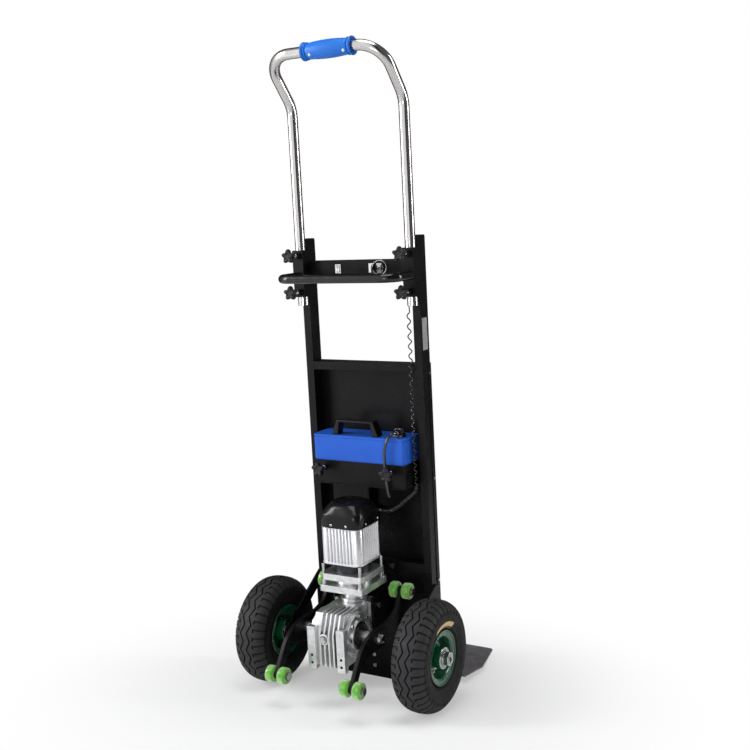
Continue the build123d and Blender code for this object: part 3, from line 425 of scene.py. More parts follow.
def zinc():
    """Bright zinc plate, faintly mottled, with a painted highlight on its sharp edges."""
    look = Finish("zinc")
    rounded, on_edge = look.edges(0.4 * MM)
    tint = look.mottle(90, 4, (0.42, 0.42, 0.42), (0.62, 0.625, 0.63), 0.35, 0.65)
    # painted highlight: sharp edges blended to bright
    look.put("Base Color", look.blend(on_edge, tint, (0.86, 0.86, 0.86)))
    look.put("Metallic", 1.0)
    look.rough(220, 4, 0.14, 0.26)
    look.grain(400, 2, 0.006, 0.3, rounded)
    return look.material


def grey_paint():
    """The load plate's grey paint, scuffed and speckled by loads sliding on it, lighter on its edges as part wear
    and part painted highlight.
    """
    look = Finish("grey_paint")
    rounded, on_edge = look.edges(0.8 * MM)
    scuffs = look.remap(look.noise(1, 8, 0.65, (60, 9, 60)), 0.56, 0.68)
    specks = look.remap(look.cells(170), 0.10, 0.05)
    base = look.mottle(22, 6, (0.108, 0.102, 0.112), (0.158, 0.150, 0.164))
    base = look.blend(look.times(scuffs, 0.35), base, (0.21, 0.20, 0.215))
    base = look.blend(look.times(specks, 0.5), base, (0.02, 0.018, 0.02))
    # lighter edges: part wear, part painted highlight
    look.put("Base Color", look.blend(look.times(on_edge, 0.5), base, (0.25, 0.25, 0.26)))
    look.put("Specular IOR Level", 0.3)
    look.rough(60, 5, 0.36, 0.58)
    look.grain(500, 4, 0.06, 0.4, rounded)
    return look.material


def cast_alloy():
    """Die-cast aluminium with a fine sandy skin, a painted highlight on its sharp edges and painted shade
    darkening its recesses.
    """
    look = Finish("cast_alloy")
    rounded, on_edge = look.edges(1.1 * MM)
    tint = look.mottle(70, 6, (0.60, 0.605, 0.61), (0.82, 0.825, 0.83))
    # painted highlight: sharp edges blended towards near white
    tint = look.blend(on_edge, tint, (0.95, 0.95, 0.96))
    # painted shade: colour darkened where ambient occlusion finds a recess
    look.put("Base Color", look.blend(look.painted_shade_openness(9 * MM, 0.15, 0.75), (0.10, 0.10, 0.10), tint))
    look.put("Metallic", 0.95)
    look.rough(240, 5, 0.26, 0.44)
    sand = look.add(look.noise(1300, 3), look.times(look.noise(260, 3), 0.8))
    look.put("Normal", look.bump(sand, 0.05 * MM, 0.45, rounded))
    return look.material


def motor_alloy():
    """Silver anodised extrusion, with die lines along its length and painted shade darkening its recesses, such as
    the grooves between its fins.
    """
    look = Finish("motor_alloy")
    rounded, on_edge = look.edges(0.5 * MM)
    lines = look.noise(1, 5, 0.6, (900, 900, 8))
    tint = look.blend(look.remap(lines, 0.3, 0.7), (0.68, 0.68, 0.70), (0.84, 0.84, 0.86))
    # painted shade: colour darkened where ambient occlusion finds a recess
    look.put("Base Color", look.blend(look.painted_shade_openness(6 * MM, 0.15, 0.75), (0.30, 0.30, 0.31), tint))
    look.put("Metallic", 0.75)
    look.rough(120, 5, 0.26, 0.38)
    look.put("Normal", look.bump(lines, 0.03 * MM, 0.3, rounded))
    return look.material


def moulded(name, colour, rough, spark=0.05, sheen=0.45, cloud=0.25):
    """Moulded plastic with a fine spark-eroded grain and lighter edges, part rubbing wear and part painted
    highlight.
    """
    look = Finish(name)
    rounded, on_edge = look.edges(0.8 * MM)
    dark = tuple(part * (1 - cloud) for part in colour)
    light = tuple(min(1.0, part * 1.6 + 0.01) for part in colour)
    base = look.mottle(18, 4, dark, colour)
    # lighter edges: part rubbing wear, part painted highlight
    look.put("Base Color", look.blend(look.times(on_edge, 0.4), base, light))
    look.rough(60, 5, rough - 0.04, rough + 0.05)
    look.put("Specular IOR Level", sheen)
    look.grain(2600, 2, 0.3 * spark, 0.4, rounded)
    return look.material


def roller_pu():
    """Translucent lime polyurethane, milky inside, with a painted highlight that makes it paler where it is seen
    edge on.
    """
    look = Finish("roller_pu")
    facing = look.nodes.new("ShaderNodeLayerWeight")
    facing.inputs["Blend"].default_value = 0.45
    deep = look.mottle(120, 4, (0.13, 0.46, 0.05), (0.30, 0.76, 0.13))
    # painted highlight: paler colour where the surface turns edge on to the view
    painted_rim_highlight = look.remap(facing.outputs["Facing"], 0.15, 0.75)
    look.put("Base Color", look.blend(painted_rim_highlight, deep, (0.78, 1.0, 0.60)))
    look.rough(260, 5, 0.06, 0.18)
    look.put("Transmission Weight", 0.38)
    look.put("IOR", 1.42)
    look.put("Subsurface Weight", 0.55)
    look.put("Subsurface Radius", (0.5, 1.0, 0.3))
    look.put("Subsurface Scale", 6 * MM)
    look.grain(420, 4, 0.02, 0.3)
    return look.material


def rim_green():
    """Gloss green enamel on the pressed rims."""
    look = Finish("rim_green")
    tint = look.mottle(24, 4, (0.0025, 0.062, 0.020), (0.004, 0.095, 0.036))
    dust = look.remap(look.noise(420, 6), 0.64, 0.74)
    look.put("Base Color", look.blend(look.times(dust, 0.2), tint, (0.06, 0.18, 0.10)))
    look.rough(60, 4, 0.24, 0.34)
    look.put("Coat Weight", 0.7)
    look.put("Coat Roughness", 0.10)
    look.grain(160, 2, 0.012, 0.3)
    return look.material


def tyre_rubber(name, dark, chalky):
    """Moulded rubber with a fine pitted skin, and painted shade making it blackest down in its grooves."""
    look = Finish(name)
    chalk = look.noise(38, 7, 0.62)
    base = look.blend(look.remap(chalk, 0.3, 0.72), dark, chalky)
    pits = look.remap(look.cells(420), 0.05, 0.30)
    base = look.blend(look.times(pits, 0.5), tuple(0.6 * part for part in dark), base)
    # painted shade: near black where ambient occlusion finds a groove
    recess = look.painted_shade_openness(7 * MM, 0.35, 0.8)
    look.put("Base Color", look.blend(recess, (0.0015, 0.0015, 0.0015), base))
    look.rough(110, 5, 0.55, 0.75)
    look.put("Specular IOR Level", 0.3)
    skin = look.add(look.noise(700, 5), look.times(pits, 0.5))
    look.put("Normal", look.bump(skin, 0.12 * MM, 0.6))
    return look.material


def painted_paper(name, colour, spot):
    """A printed sticker left blank: uneven ink and lightly scratched."""
    look = Finish(name)
    ink = look.remap(look.noise(260, 6), 0.52, 0.64)
    look.put("Base Color", look.blend(look.times(ink, 0.55), colour, spot))
    look.rough(300, 4, 0.30, 0.5)
    look.grain(900, 3, 0.03, 0.4)
    return look.material


FINISHES = {
    "powder_coat": powder_coat(),
    "stainless": brushed("stainless", (0.62, 0.60, 0.585), 0.17, (700, 700, 6)),
    "zinc": zinc(),
    "bare_steel": brushed("bare_steel", (0.46, 0.46, 0.47), 0.30, (6, 800, 800)),
    "grey_paint": grey_paint(),
    "cast_alloy": cast_alloy(),
    "motor_alloy": motor_alloy(),
    "black_plastic": moulded("black_plastic", (0.0042, 0.0040, 0.0046), 0.20, 0.04, 0.28),
    "knob_plastic": moulded("knob_plastic", (0.0065, 0.0065, 0.0075), 0.42, 0.08, 0.35),
    "blue_plastic": moulded("blue_plastic", (0.010, 0.150, 0.60), 0.33, 0.04, 0.30, 0.1),
    "battery_blue": moulded("battery_blue", (0.022, 0.110, 0.56), 0.34, 0.05, 0.16, 0.12),
    "white_plastic": moulded("white_plastic", (0.78, 0.78, 0.77), 0.32, 0.03, 0.5, 0.06),
    "roller_pu": roller_pu(),
    "rim_green": rim_green(),
    "tyre": tyre_rubber("tyre", (0.020, 0.019, 0.021), (0.046, 0.044, 0.047)),
    "tyre_wall": tyre_rubber("tyre_wall", (0.0035, 0.0034, 0.0037), (0.0075, 0.0070, 0.0075)),
    "gloss_black": powder_coat("gloss_black", 0.14, 0.5),
    "seal_rubber": moulded("seal_rubber", (0.006, 0.006, 0.0065), 0.42),
    "bronze": brushed("bronze", (0.60, 0.38, 0.17), 0.28, (8, 500, 500)),
    "lamination": brushed("lamination", (0.05, 0.05, 0.055), 0.40, (8, 8, 2000)),
    "cell_wrap": moulded("cell_wrap", (0.05, 0.20, 0.10), 0.3),
    "cable": moulded("cable", (0.012, 0.012, 0.013), 0.16, 0.02, 0.9),
    "sticker": painted_paper("sticker", (0.62, 0.44, 0.20), (0.80, 0.66, 0.42)),
    "label": painted_paper("label", (0.34, 0.32, 0.325), (0.48, 0.46, 0.465)),
}


def finish_cad_nodes():
    """Gives each CAD node the finish of its material slot."""
    for entry in frame["record"]["subparts"]:
        node = frame["nodes"][entry["node"]]
        node.data.materials.clear()
        finish = "gloss_black" if entry["node"] == "u_bar" else entry["material_slot"]
        node.data.materials.append(FINISHES[finish])


def round_cad_edges():
    """Real rounded edges on the CAD nodes that stay in view, by modifiers only."""
    widths = {
        "upright_left": 1.6, "upright_right": 1.6, "frame_crossbars": 1.4, "front_panel": 0.7,
        "lower_plate": 0.8, "clamp_sleeves": 1.4, "control_box": 0.8, "battery_tray": 0.5,
        "controller_box": 1.2, "gearbox_bracket": 1.0, "wheel_brackets": 1.2, "toe_plate": 1.0,
        "gearbox_housing": 0.9, "gearbox_covers": 0.6, "motor_flange": 1.0, "motor_end_bell": 0.8,
        "upright_caps": 0.8, "climb_arm_left": 1.4, "climb_arm_right": 1.4, "battery_case": 1.2,
        "battery_lid": 1.6, "battery_handle": 2.2, "rocker_bezel": 0.5, "key_switch": 0.5,
        "stub_axles": 0.6, "frame_fasteners": 0.4, "handle_ferrules": 0.5, "climb_shaft": 0.6,
    }
    for name, width in widths.items():
        node = frame["nodes"][name]
        joined = node.modifiers.new("joined", "WELD")
        joined.merge_threshold = 0.02 * MM
        flats = node.modifiers.new("flats", "DECIMATE")
        flats.decimate_type = "DISSOLVE"
        flats.angle_limit = radians(0.6)
        node.data.shade_smooth()
        soften(node, width * MM)


# ---------- road wheels ----------
CROWN_FALL = 36 * MM  # from the tread's middle down to the tyre's widest line
CROWN_POWER = 2.5
TREAD_PITCHES = 20
GROOVE_DEPTH = 5.0 * MM
SIPE_DEPTH = 3.6 * MM
LUG_DEPTH = 2.2 * MM
ZIGZAG = 5.0 * MM  # swing of the grooves to either side
TREAD_LOWEST = 0.84  # share of the tyre's radius where the tread rubber ends
STICKER_START = 60  # degrees
STICKER_SWEEP = 62  # degrees


def crown_point(across, half_width, radius):
    """Tyre radius at a distance across the tread, on a squared-off oval."""
    share = (abs(across) / half_width) ** CROWN_POWER
    return radius - CROWN_FALL * (1 - (1 - share) ** (1 / CROWN_POWER))


def tread_lines():
    """Lines across the tread: (distance, how far it follows the zigzag, kind)."""
    half = [(0.0, 1.0, "land"), (4.0, 1.0, "land"), (6.9, 1.0, "land"), (7.5, 1.0, "groove"),
            (10.1, 1.0, "groove"), (10.7, 1.0, "land"), (15.5, 0.5, "land"), (18.6, 0.0, "land"),
            (19.2, 0.0, "hook"), (21.4, 0.0, "hook"), (22.0, 0.0, "sipe"), (26.0, 0.0, "sipe"),
            (30.5, 0.0, "sipe"), (34.5, 0.0, "sipe"), (37.6, 0.0, "sipe"), (39.8, 0.0, "sipe")]
    mirrored = [(-distance, follow, kind) for distance, follow, kind in reversed(half[1:])]
    return mirrored + half


def tread_stations():
    """Steps round one pitch of the tread: (share of the pitch, sipe cut here, hook cut here)."""
    edge, floor = 0.052, 0.034
    stations = [(0.0, False, False), (0.12, False, False)]
    hook = 0.17
    for centre in (0.25, 0.75):
        stations += [(centre - edge, False, False), (centre - floor, True, True),
                     (centre + floor, True, True), (centre + edge, False, True),
                     (centre + hook, False, True), (centre + hook + 0.012, False, False)]
    stations.append((0.5, False, False))
    return sorted(stations)


def tyre_section(half_width, radius, bead_radius):
    """Sidewall outside and air side, from the tread's edge round to the other tread edge."""
    widest = radius - CROWN_FALL
    side = [(41.6, 108.5), (42.6, 102.5), (42.5, 100.8), (43.0, 99.5), (43.0, 92.0), (42.2, 86.0),
            (40.4, 79.5), (37.6, 73.6), (37.9, 72.2), (36.8, 70.6), (34.6, 69.0), (31.4, 66.4),
            (30.4, 64.4), (28.9, 63.6), (28.5, 60.0), (28.5, bead_radius / MM + 0.4),
            (20.0, bead_radius / MM + 0.4), (20.0, 60.0), (30.0, 70.0), (35.2, 82.0), (36.0, 93.0),
            (35.0, 103.0), (32.0, 111.0), (22.0, 117.5), (10.0, 120.8)]
    scale_across = half_width / (43.0 * MM)
    scale_radius = widest / (94.0 * MM)
    right = [(across * scale_across * MM, height * scale_radius * MM) for across, height in side]
    left = [(-across, height) for across, height in reversed(right)]
    return right + left


def tyre(name):
    """A tyre with two zigzag grooves, hooked shoulder sipes and a moulded sidewall."""
    centre, half = middle_and_half(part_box(f"tyre_{name}"))
    radius, half_width = half.z, half.x
    bead_radius = 50.0 * MM
    lines = tread_lines()
    section = tyre_section(half_width, radius, bead_radius)
    bm = bmesh.new()
    rings = []
    for pitch in range(TREAD_PITCHES):
        for share, sipe_here, hook_here in tread_stations():
            angle = 2 * pi * (pitch + share) / TREAD_PITCHES
            swing = ZIGZAG * (4 * abs(share - 0.5) - 1)
            ring = []
            for distance, follow, kind in lines:
                across = distance * MM + follow * swing
                height = crown_point(across, half_width, radius)
                cut = 0.0
                if kind == "groove":
                    cut = GROOVE_DEPTH
                elif kind == "hook" and hook_here:
                    cut = SIPE_DEPTH
                elif kind == "sipe" and sipe_here:
                    cut = SIPE_DEPTH
                ring.append((across, height - cut))
            for index, (across, height) in enumerate(section):
                near_shoulder = index < 2 or index > len(section) - 3
                cut = LUG_DEPTH if near_shoulder and sipe_here else 0.0
                ring.append((across - copysign(cut, across), height))
            turn = Matrix.Rotation(angle, 4, X)
            rings.append([bm.verts.new(centre + turn @ Vector((across, 0, height)))
                          for across, height in ring])
    rings.append(rings[0])
    bridge(bm, rings)
    for face in bm.faces:
        offset = face.calc_center_median() - centre
        if hypot(offset.y, offset.z) < TREAD_LOWEST * radius:
            face.material_index = 1
    piece(f"tyre_{name}_tread", bm, f"wheel_{name}", ["tyre", "tyre_wall"],
          replaces=(f"tyre_{name}",), axes=UPRIGHT, smooth=42)


def tyre_sticker(side, name):
    """A blank tan sticker, an arc on the outer sidewall of one tyre."""
    centre = middle_and_half(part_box(f"tyre_{name}"))[0]
    proud = 0.25 * MM
    section = mm((69, 35.2), (72.2, 37.4), (76, 39.2), (80, 40.8), (84, 41.7))
    steps = 18
    place = aim(centre, X * side)
    bm = bmesh.new()
    rings = []
    for step in range(steps + 1):
        angle = radians(STICKER_START + STICKER_SWEEP * step / steps)
        ring = []
        for radius, height in section:
            ring.append(bm.verts.new(place @ polar(radius, angle, height + proud)))
        rings.append(ring)
    bridge(bm, rings, closed_ring=False)
    made = piece(f"tyre_{name}_sticker", bm, f"wheel_{name}", ["sticker"],
                 axes=UPRIGHT)
    paper = made.modifiers.new("paper", "SOLIDIFY")
    paper.thickness = proud
    paper.offset = -1


def rim(side, name):
    """A pressed wheel with rolled flanges, a dished web with bolts, hub and valve stem."""
    centre, half = middle_and_half(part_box(f"rim_{name}"))
    hub = half.x / MM
    bolt_circle, web_thickness = 35.5, 2.7
    valve_circle, valve_angle, valve_tilt = 43.5, 222, -14
    place = aim(centre, X * side)
    outside = [(49.9, 24), (50.0, 29.0), (54, 30.4), (60.5, 31.6), (63.4, 32.8), (64.2, 34.6),
               (63.0, 36.2), (60.8, 35.6), (59.6, 33.8), (53.5, 33.2), (49.0, 30.8), (46.6, 25.0),
               (45.4, 12.0), (43.0, 6.0), (38.0, 3.2), (31.5, 4.6), (27.4, 8.4), (25.6, 13.0),
               (25.0, 18.0), (25.0, hub - 0.8), (24.2, hub), (21.05, hub)]
    inside = [(21.05, -hub), (24.2, -hub), (25.0, -hub + 0.8), (25.0, -1.0),
              (27.0, 2.0), (31.5, 1.2), (38.0, 0.0), (44.0, 2.2), (47.6, -6.0), (48.0, -25.0),
              (49.6, -30.8), (53.5, -33.2), (59.6, -33.8), (60.8, -35.6), (63.0, -36.2),
              (64.2, -34.6), (63.4, -32.8), (60.5, -31.6), (54, -30.4), (50.0, -29.0), (49.9, -24)]
    bm = bmesh.new()
    lathe(bm, mm(*outside, *inside), place, 72, closed=True)
    cap = [(21.3, hub - 1), (24.9, hub - 1), (25.3, hub), (24.6, hub + 0.5), (21.8, hub + 0.5)]
    for end in (-1, 1):
        lathe(bm, mm(*[(radius, end * height) for radius, height in cap]), place, 48, 1, closed=True)
    for index in range(4):
        bolt = place @ spin(45 + 90 * index) @ shift(bolt_circle, 0, 0.5)
        hex_head(bm, bolt @ shift(0, 0, web_thickness), 8 * MM, 4 * MM, 1, 6 * MM)
        hex_head(bm, bolt @ spin(180, "X"), 8 * MM, 4.5 * MM, 1, 6 * MM)
    stem = place @ spin(valve_angle) @ shift(valve_circle, 0, 5) @ spin(valve_tilt, "Y")
    lathe(bm, mm((0, 0), (4.4, 0), (4.2, 2.5), (2.9, 4), (2.9, 15), (3.4, 15.4), (3.4, 21), (2.6, 22),
                 (0, 22)), stem, 20, 1)
    piece(f"rim_{name}_pressed", bm, f"wheel_{name}", ["rim_green", "zinc"],
          replaces=(f"rim_{name}",), axes=UPRIGHT)


def axle_end(side, name):
    """The end of a stub axle: a bright chamfered rim round a shallow centre hole whose near-black floor is painted
    shade standing in for a deep hole.
    """
    face = middle_and_half(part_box(f"tyre_{name}"))[0]
    face.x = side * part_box("stub_axles")[1].x
    place = aim(face, X * side)
    bm = bmesh.new()
    lathe(bm, mm((0, -0.4), (10.4, -0.4), (10.4, 0.5), (9.6, 1.2), (7.0, 1.2), (6.2, 0.2)), place, 36)
    # painted shade: a near-black disc as the floor of the shallow hole
    lathe(bm, mm((6.2, 0.2), (0, 0.2)), place, 36, 1)
    piece(f"axle_end_{name}", bm, "root", ["zinc", "seal_rubber"], axes=UPRIGHT)


def wheels():
    for name, side in SIDES.items():
        tyre(name)
        rim(side, name)
        axle_end(side, name)
    tyre_sticker(SIDES["right"], "right")


# ---------- climbing rollers ----------
def rollers():
    """Soft rollers in pairs, each with rounded edges, a dished face and a bore."""
    for name in ("rear_left", "rear_right", "front_left", "front_right"):
        node = f"rollers_{name}"
        centre, half = middle_and_half(lean_box(node))
        face, corner = 10 * MM, 4 * MM
        profile = mm((9.56, -10), (11.4, -10), (12.4, -9.2), (13.6, -9.2), (14.8, -10))
        for step in range(5):
            angle = radians(90 * step / 4)
            profile.append((half.z - corner + corner * sin(angle),
                            -face + corner - corner * cos(angle)))
        profile += [(reach, -height) for reach, height in reversed(profile)]
        bm = bmesh.new()
        for side in (-1, 1):
            lathe(bm, profile, aim(centre + X * side * (half.x - face), X), 56, closed=True)
        piece(f"{node}_soft", bm, node, ["roller_pu"], replaces=(node,))


# ---------- clamping knobs ----------
def star_outline(outer, depth):
    """A smooth five-lobed outline."""
    steps = 60
    points = []
    for step in range(steps):
        angle = 2 * pi * step / steps
        radius = outer - depth + depth * (0.5 + 0.5 * cos(5 * (angle - pi / 2)))
        points.append(polar(radius, angle).xy)
    return points


def threaded_rod(bm, place, radius, start, end, material):
    """A rod with thread rings."""
    pitch = 1.25 * MM
    profile = [(0, start)]
    height = start
    while height < end - pitch:
        profile += [(radius * 0.84, height + 0.1 * pitch), (radius, height + 0.5 * pitch),
                    (radius * 0.84, height + 0.9 * pitch)]
        height += pitch
    profile.append((0, end))
    lathe(bm, profile, place, 20, material)


def knobs():
    """Star knobs with a domed head, a metal collar and a threaded stud."""
    names = [f"handle_knob_{level}_{name}" for level in ("upper", "lower") for name in SIDES]
    names += [f"battery_knob_{name}" for name in SIDES]
    for node in names:
        centre, half = middle_and_half(lean_box(node))
        outer = half.x
        place = aim(centre - Y * half.y, Y)
        bm = bmesh.new()
        levels = [(0.40, 2.0), (0.52, 0.7), (0.66, 0.0), (0.82, 0.5), (0.93, 1.8), (0.99, 4.0),
                  (1.0, 7.0), (0.98, 10.0), (0.93, 12.4), (0.82, 13.6), (0.62, 14.0)]
        levels = [(scale, height * MM) for scale, height in levels]
        loft(bm, star_outline(outer, 0.36 * outer), levels, place)
        lathe(bm, mm((7.6, 13.9), (7.2, 17), (6.6, 23.6), (6.0, 24), (3.9, 24)), place, 28)
        threaded_rod(bm, place, 4 * MM, 23 * MM, 2 * half.y, 1)
        piece(f"{node}_star", bm, node, ["knob_plastic", "zinc"], replaces=(node,))


# ---------- handle ----------
def grip():
    """The blue hand grip: swollen middle, stepped collars at both ends and two screws."""
    centre, half = middle_and_half(lean_box("handle_grip"))
    thickest, taper, bore, end_length = 20.8, 3.2, 12.6, 13
    collar, end = half.z / MM, half.x / MM
    shares = [step / 12 for step in range(13)]
    swell = [(thickest - taper * share ** 2, share * (end - end_length)) for share in shares]
    steps = [(17.4, 12.6), (19.4, 12.0), (19.8, 11.0), (19.4, 10.0), (17.6, 9.4), (17.6, 7.6),
             (20.0, 5.4), (collar, 3.6), (collar, 1.4), (20.2, 0), (15.0, 0), (13.8, 1.2), (bore, 1.2)]
    right = swell + [(radius, end - inset) for radius, inset in steps]
    left = [(radius, -along) for radius, along in reversed(right[1:])]
    bm = bmesh.new()
    lathe(bm, mm(*left, *right), aim(centre, X), 64, closed=True)
    direction = Vector((0, -0.85, -0.53)).normalized()
    for share in (-0.62, 0.74):
        seat = centre + X * share * half.x + direction * (17.6 * MM)
        lathe(bm, mm((0, 0), (3.4, 0), (3.2, 2.2), (2.0, 2.9), (0, 2.9)), aim(seat, direction), 20, 1)
    piece("handle_grip_moulded", bm, "handle", ["blue_plastic", "white_plastic"],
          replaces=("handle_grip",))


# ---------- coiled cord ----------
def helix_on(line, radius, turns):
    """Points of a helix wound round a line of points, even turns along its length."""
    lengths = [0.0]
    for before, after in zip(line[:-1], line[1:]):
        lengths.append(lengths[-1] + (after - before).length)
    total = lengths[-1]
    side = (line[1] - line[0]).orthogonal().normalized()
    points = []
    segment = 0
    steps = 12
    count = turns * steps
    for step in range(count + 1):
        along = total * step / count
        while segment < len(line) - 2 and lengths[segment + 1] < along:
            segment += 1
        run = line[segment + 1] - line[segment]
        share = (along - lengths[segment]) / run.length
        direction = run.normalized()
        side = (side - direction * side.dot(direction)).normalized()
        angle = 2 * pi * step / steps
        offset = side * cos(angle) + direction.cross(side) * sin(angle)
        points.append(line[segment] + run * share + offset * radius)
    return points


def curve_through(points):
    """A smooth line through the points."""
    steps = 8
    padded = [points[0] * 2 - points[1], *points, points[-1] * 2 - points[-2]]
    line = []
    for a, b, c, d in zip(padded[:-3], padded[1:-2], padded[2:-1], padded[3:]):
        for step in range(steps):
            t = step / steps
            line.append(0.5 * (2 * b + (c - a) * t + (2 * a - 5 * b + 4 * c - d) * t ** 2
                               + (3 * b - a - 3 * c + d) * t ** 3))
    line.append(points[-1])
    return line


def coiled_cord():
    """The control cord: stretched coils down the upright, closed coils in the bend below."""
    outer, wire = 5.4 * MM, 1.5 * MM
    x, y, top, bottom = 134.6, -5.8, 930, 512
    turns, steps, stretch = 21, 14, 0.24
    coil = []
    for step in range(turns * steps + 1):
        share = step / (turns * steps)
        hung = share * (1 + stretch * (1 - share))
        angle = 2 * pi * step / steps
        coil.append(at(x, y, top + (bottom - top) * hung) + polar(outer - wire, angle))
    bend = [at(x, y, bottom), at(130, -2, 495), at(112, 4, 479), at(88, 11, 459), at(62, 17, 440),
            at(36, 22, 430), at(-9, 26, 430)]
    closed = helix_on(curve_through(bend), 4.6 * MM, 46)
    lead = [at(x - 2, 0.8, 1018), at(x, y + 2, 1012), at(x, y, 996), at(x + 2, y, 940)]
    bm = bmesh.new()
    tube(bm, curve_through(lead) + coil[3:] + closed[8:], wire, 8)
    piece("coil_cord_wound", bm, "root", ["cable"], replaces=("coil_cord",))


# ---------- motor ----------
def slot_stations():
    """Angles round the motor cap and whether an air slot runs there, a quarter at a time."""
    stations = []
    for quarter in range(4):
        start = 90 * quarter
        stations += [(start, False), (start + 13, False), (start + 14.5, True)]
        stations += [(start + 14.5 + 61 * step / 6, True) for step in range(1, 7)]
        stations.append((start + 77, False))
    return [(radians(angle), in_slot) for angle, in_slot in stations]


def motor_cap():
    """The black fan cover: a square skirt that turns round at the shoulder, and curved air slots."""
    middle, (half, _, half_height) = middle_and_half(lean_box("motor_cap"))
    place = Matrix.Translation(middle - Z * half_height)
    height = 2 * half_height
    stations = slot_stations()
    angles = [angle for angle, in_slot in stations]
    levels = [(0.90, 6.0, 0.0), (0.985, 6.0, 0.0), (1.0, 6.0, 0.02), (1.0, 6.0, 0.54),
              (0.99, 5.6, 0.575), (0.955, 4.8, 0.64), (0.855, 3.3, 0.83), (0.80, 3.0, 0.905),
              (0.755, 2.8, 0.955), (0.70, 2.6, 0.99), (0.66, 2.5, 1.0)]
    bm = bmesh.new()
    rings = []
    for scale, power, share in levels:
        rings.append([bm.verts.new(place @ Vector((x, y, share * height)))
                      for x, y in superellipse(half * scale, power, angles)])
    slot_depth = 3 * MM
    radii = [(36 * MM, False)]
    for radius in (29 * MM, 22.5 * MM, 16 * MM, 9.5 * MM):
        radii += [(radius + 1.7 * MM, False), (radius + 1.4 * MM, True),
                  (radius - 1.4 * MM, True), (radius - 1.7 * MM, False)]
    for radius, ring_slot in radii:
        ring = []
        for angle, in_slot in stations:
            sunk = slot_depth if ring_slot and in_slot else 0.0
            ring.append(bm.verts.new(place @ polar(radius, angle, height - sunk)))
        rings.append(ring)
    rings.append([bm.verts.new(place @ Vector((0, 0, height)))])
    bridge(bm, rings)
    bm.faces.new(rings[0])
    skirt = place @ Vector((0, 0, 7 * MM))
    for across, aside, outward in ((-19, X, -Y), (22, X, -Y), (-20, Y, X), (36, Y, X)):
        seat = skirt + aside * across * MM + outward * (half - 0.4 * MM)
        lathe(bm, mm((0, 0), (3.0, 0), (2.9, 1.6), (1.8, 2.2), (0, 2.2)), aim(seat, outward), 16, 1)
    piece("motor_cap_moulded", bm, "root", ["black_plastic", "zinc"], replaces=("motor_cap",),
          smooth=40)


def finned_outline(half, corner, depth, pitch, fins):
    """A rounded square whose four sides carry upright fins with rounded crests."""
    points = []
    straight = half - corner
    per_side, per_corner = 96, 8
    for quarter in range(4):
        turn = radians(90 * quarter)
        flank = []
        for step in range(per_side):
            along = straight * (2 * step / per_side - 1)
            cut = 0.0
            if abs(along) < fins * pitch / 2:
                cut = depth * (1 - abs(cos(pi * along / pitch)) ** 0.7)
            flank.append((half - cut, along))
        for step in range(per_corner):
            angle = radians(90 * step / per_corner)
            flank.append((straight + corner * cos(angle), straight + corner * sin(angle)))
        points += [(x * cos(turn) - y * sin(turn), x * sin(turn) + y * cos(turn))
                   for x, y in flank]
    return points


def motor_body():
    """The finned alloy body, with a flared lip round its lower end."""
    middle, (half, _, half_height) = middle_and_half(lean_box("motor_body"))
    place = Matrix.Translation(middle - Z * half_height)
    height = 2 * half_height
    bm = bmesh.new()
    fins = finned_outline(half, 19 * MM, 4.6 * MM, 9.0 * MM, 8)
    shrunk = [(x * 0.985, y * 0.985) for x, y in fins]
    stack(bm, [(fins, 4 * MM), (fins, height - 2.5 * MM), (shrunk, height - 0.8 * MM)], place)
    for base, top, grow in ((0.0, 6.5, 1.3), (height / MM - 3.0, height / MM, 0.6)):
        outline = rounded_rectangle(half + grow * MM, half + grow * MM, 20 * MM, 8)
        loft(bm, outline, [(0.975, base * MM), (1, (base + 1.0) * MM), (1, (top - 1.4) * MM),
                           (0.965, top * MM)], place)
    piece("motor_body_finned", bm, "root", ["motor_alloy"], replaces=("motor_body",), smooth=50)


# ---------- gearbox ----------
def gearbox_trim():
    """Cover bolts, shaft seals and the oil plug with its ring."""
    low, high = lean_box("gearbox_covers")
    shaft_low, shaft_high = lean_box("climb_shaft")
    centre = (shaft_low + shaft_high) / 2
    centre.x = (low.x + high.x) / 2
    reach = (high.x - low.x) / 2
    bolt_circle, bolt_count, step_down = 45.5, 8, 5 * MM
    bolts = bmesh.new()
    seals = bmesh.new()
    for side in SIDES.values():
        face = aim(centre + X * side * (reach - step_down), X * side)
        for index in range(bolt_count):
            seat = face @ spin(360 * index / bolt_count) @ shift(bolt_circle, 0, 0)
            hex_head(bolts, seat, 6.5 * MM, 3.8 * MM, washer=4.6 * MM)
        lathe(seals, mm((32.6, -1.6), (32.6, 1.2), (30.8, 2.4), (27, 2.4), (25.4, 0.2), (19.5, -0.2),
                        (17.4, 1.8), (14.6, 1.8), (12.7, 0.4), (12.7, -1.6)), face, 56, closed=True)
    piece("gearbox_cover_bolts", bolts, "root", ["zinc"])
    piece("gearbox_seals", seals, "root", ["seal_rubber"])
    plug = at(centre.x / MM - 4, 0, 189)
    plug.y = lean_box("gearbox_housing")[0].y
    ring = bmesh.new()
    place = aim(plug + Y * 1.5 * MM, -Y)
    lathe(ring, mm((13.2, -4), (13.2, 2.4), (12.0, 3.4), (9.8, 3.4), (9.2, 2.0), (8.8, -4)),
          place, 40, closed=True)
    hex_head(ring, place @ shift(0, 0, 1), 12 * MM, 5.4 * MM, 1, 8.6 * MM)
    piece("oil_plug", ring, "root", ["cast_alloy", "zinc"])


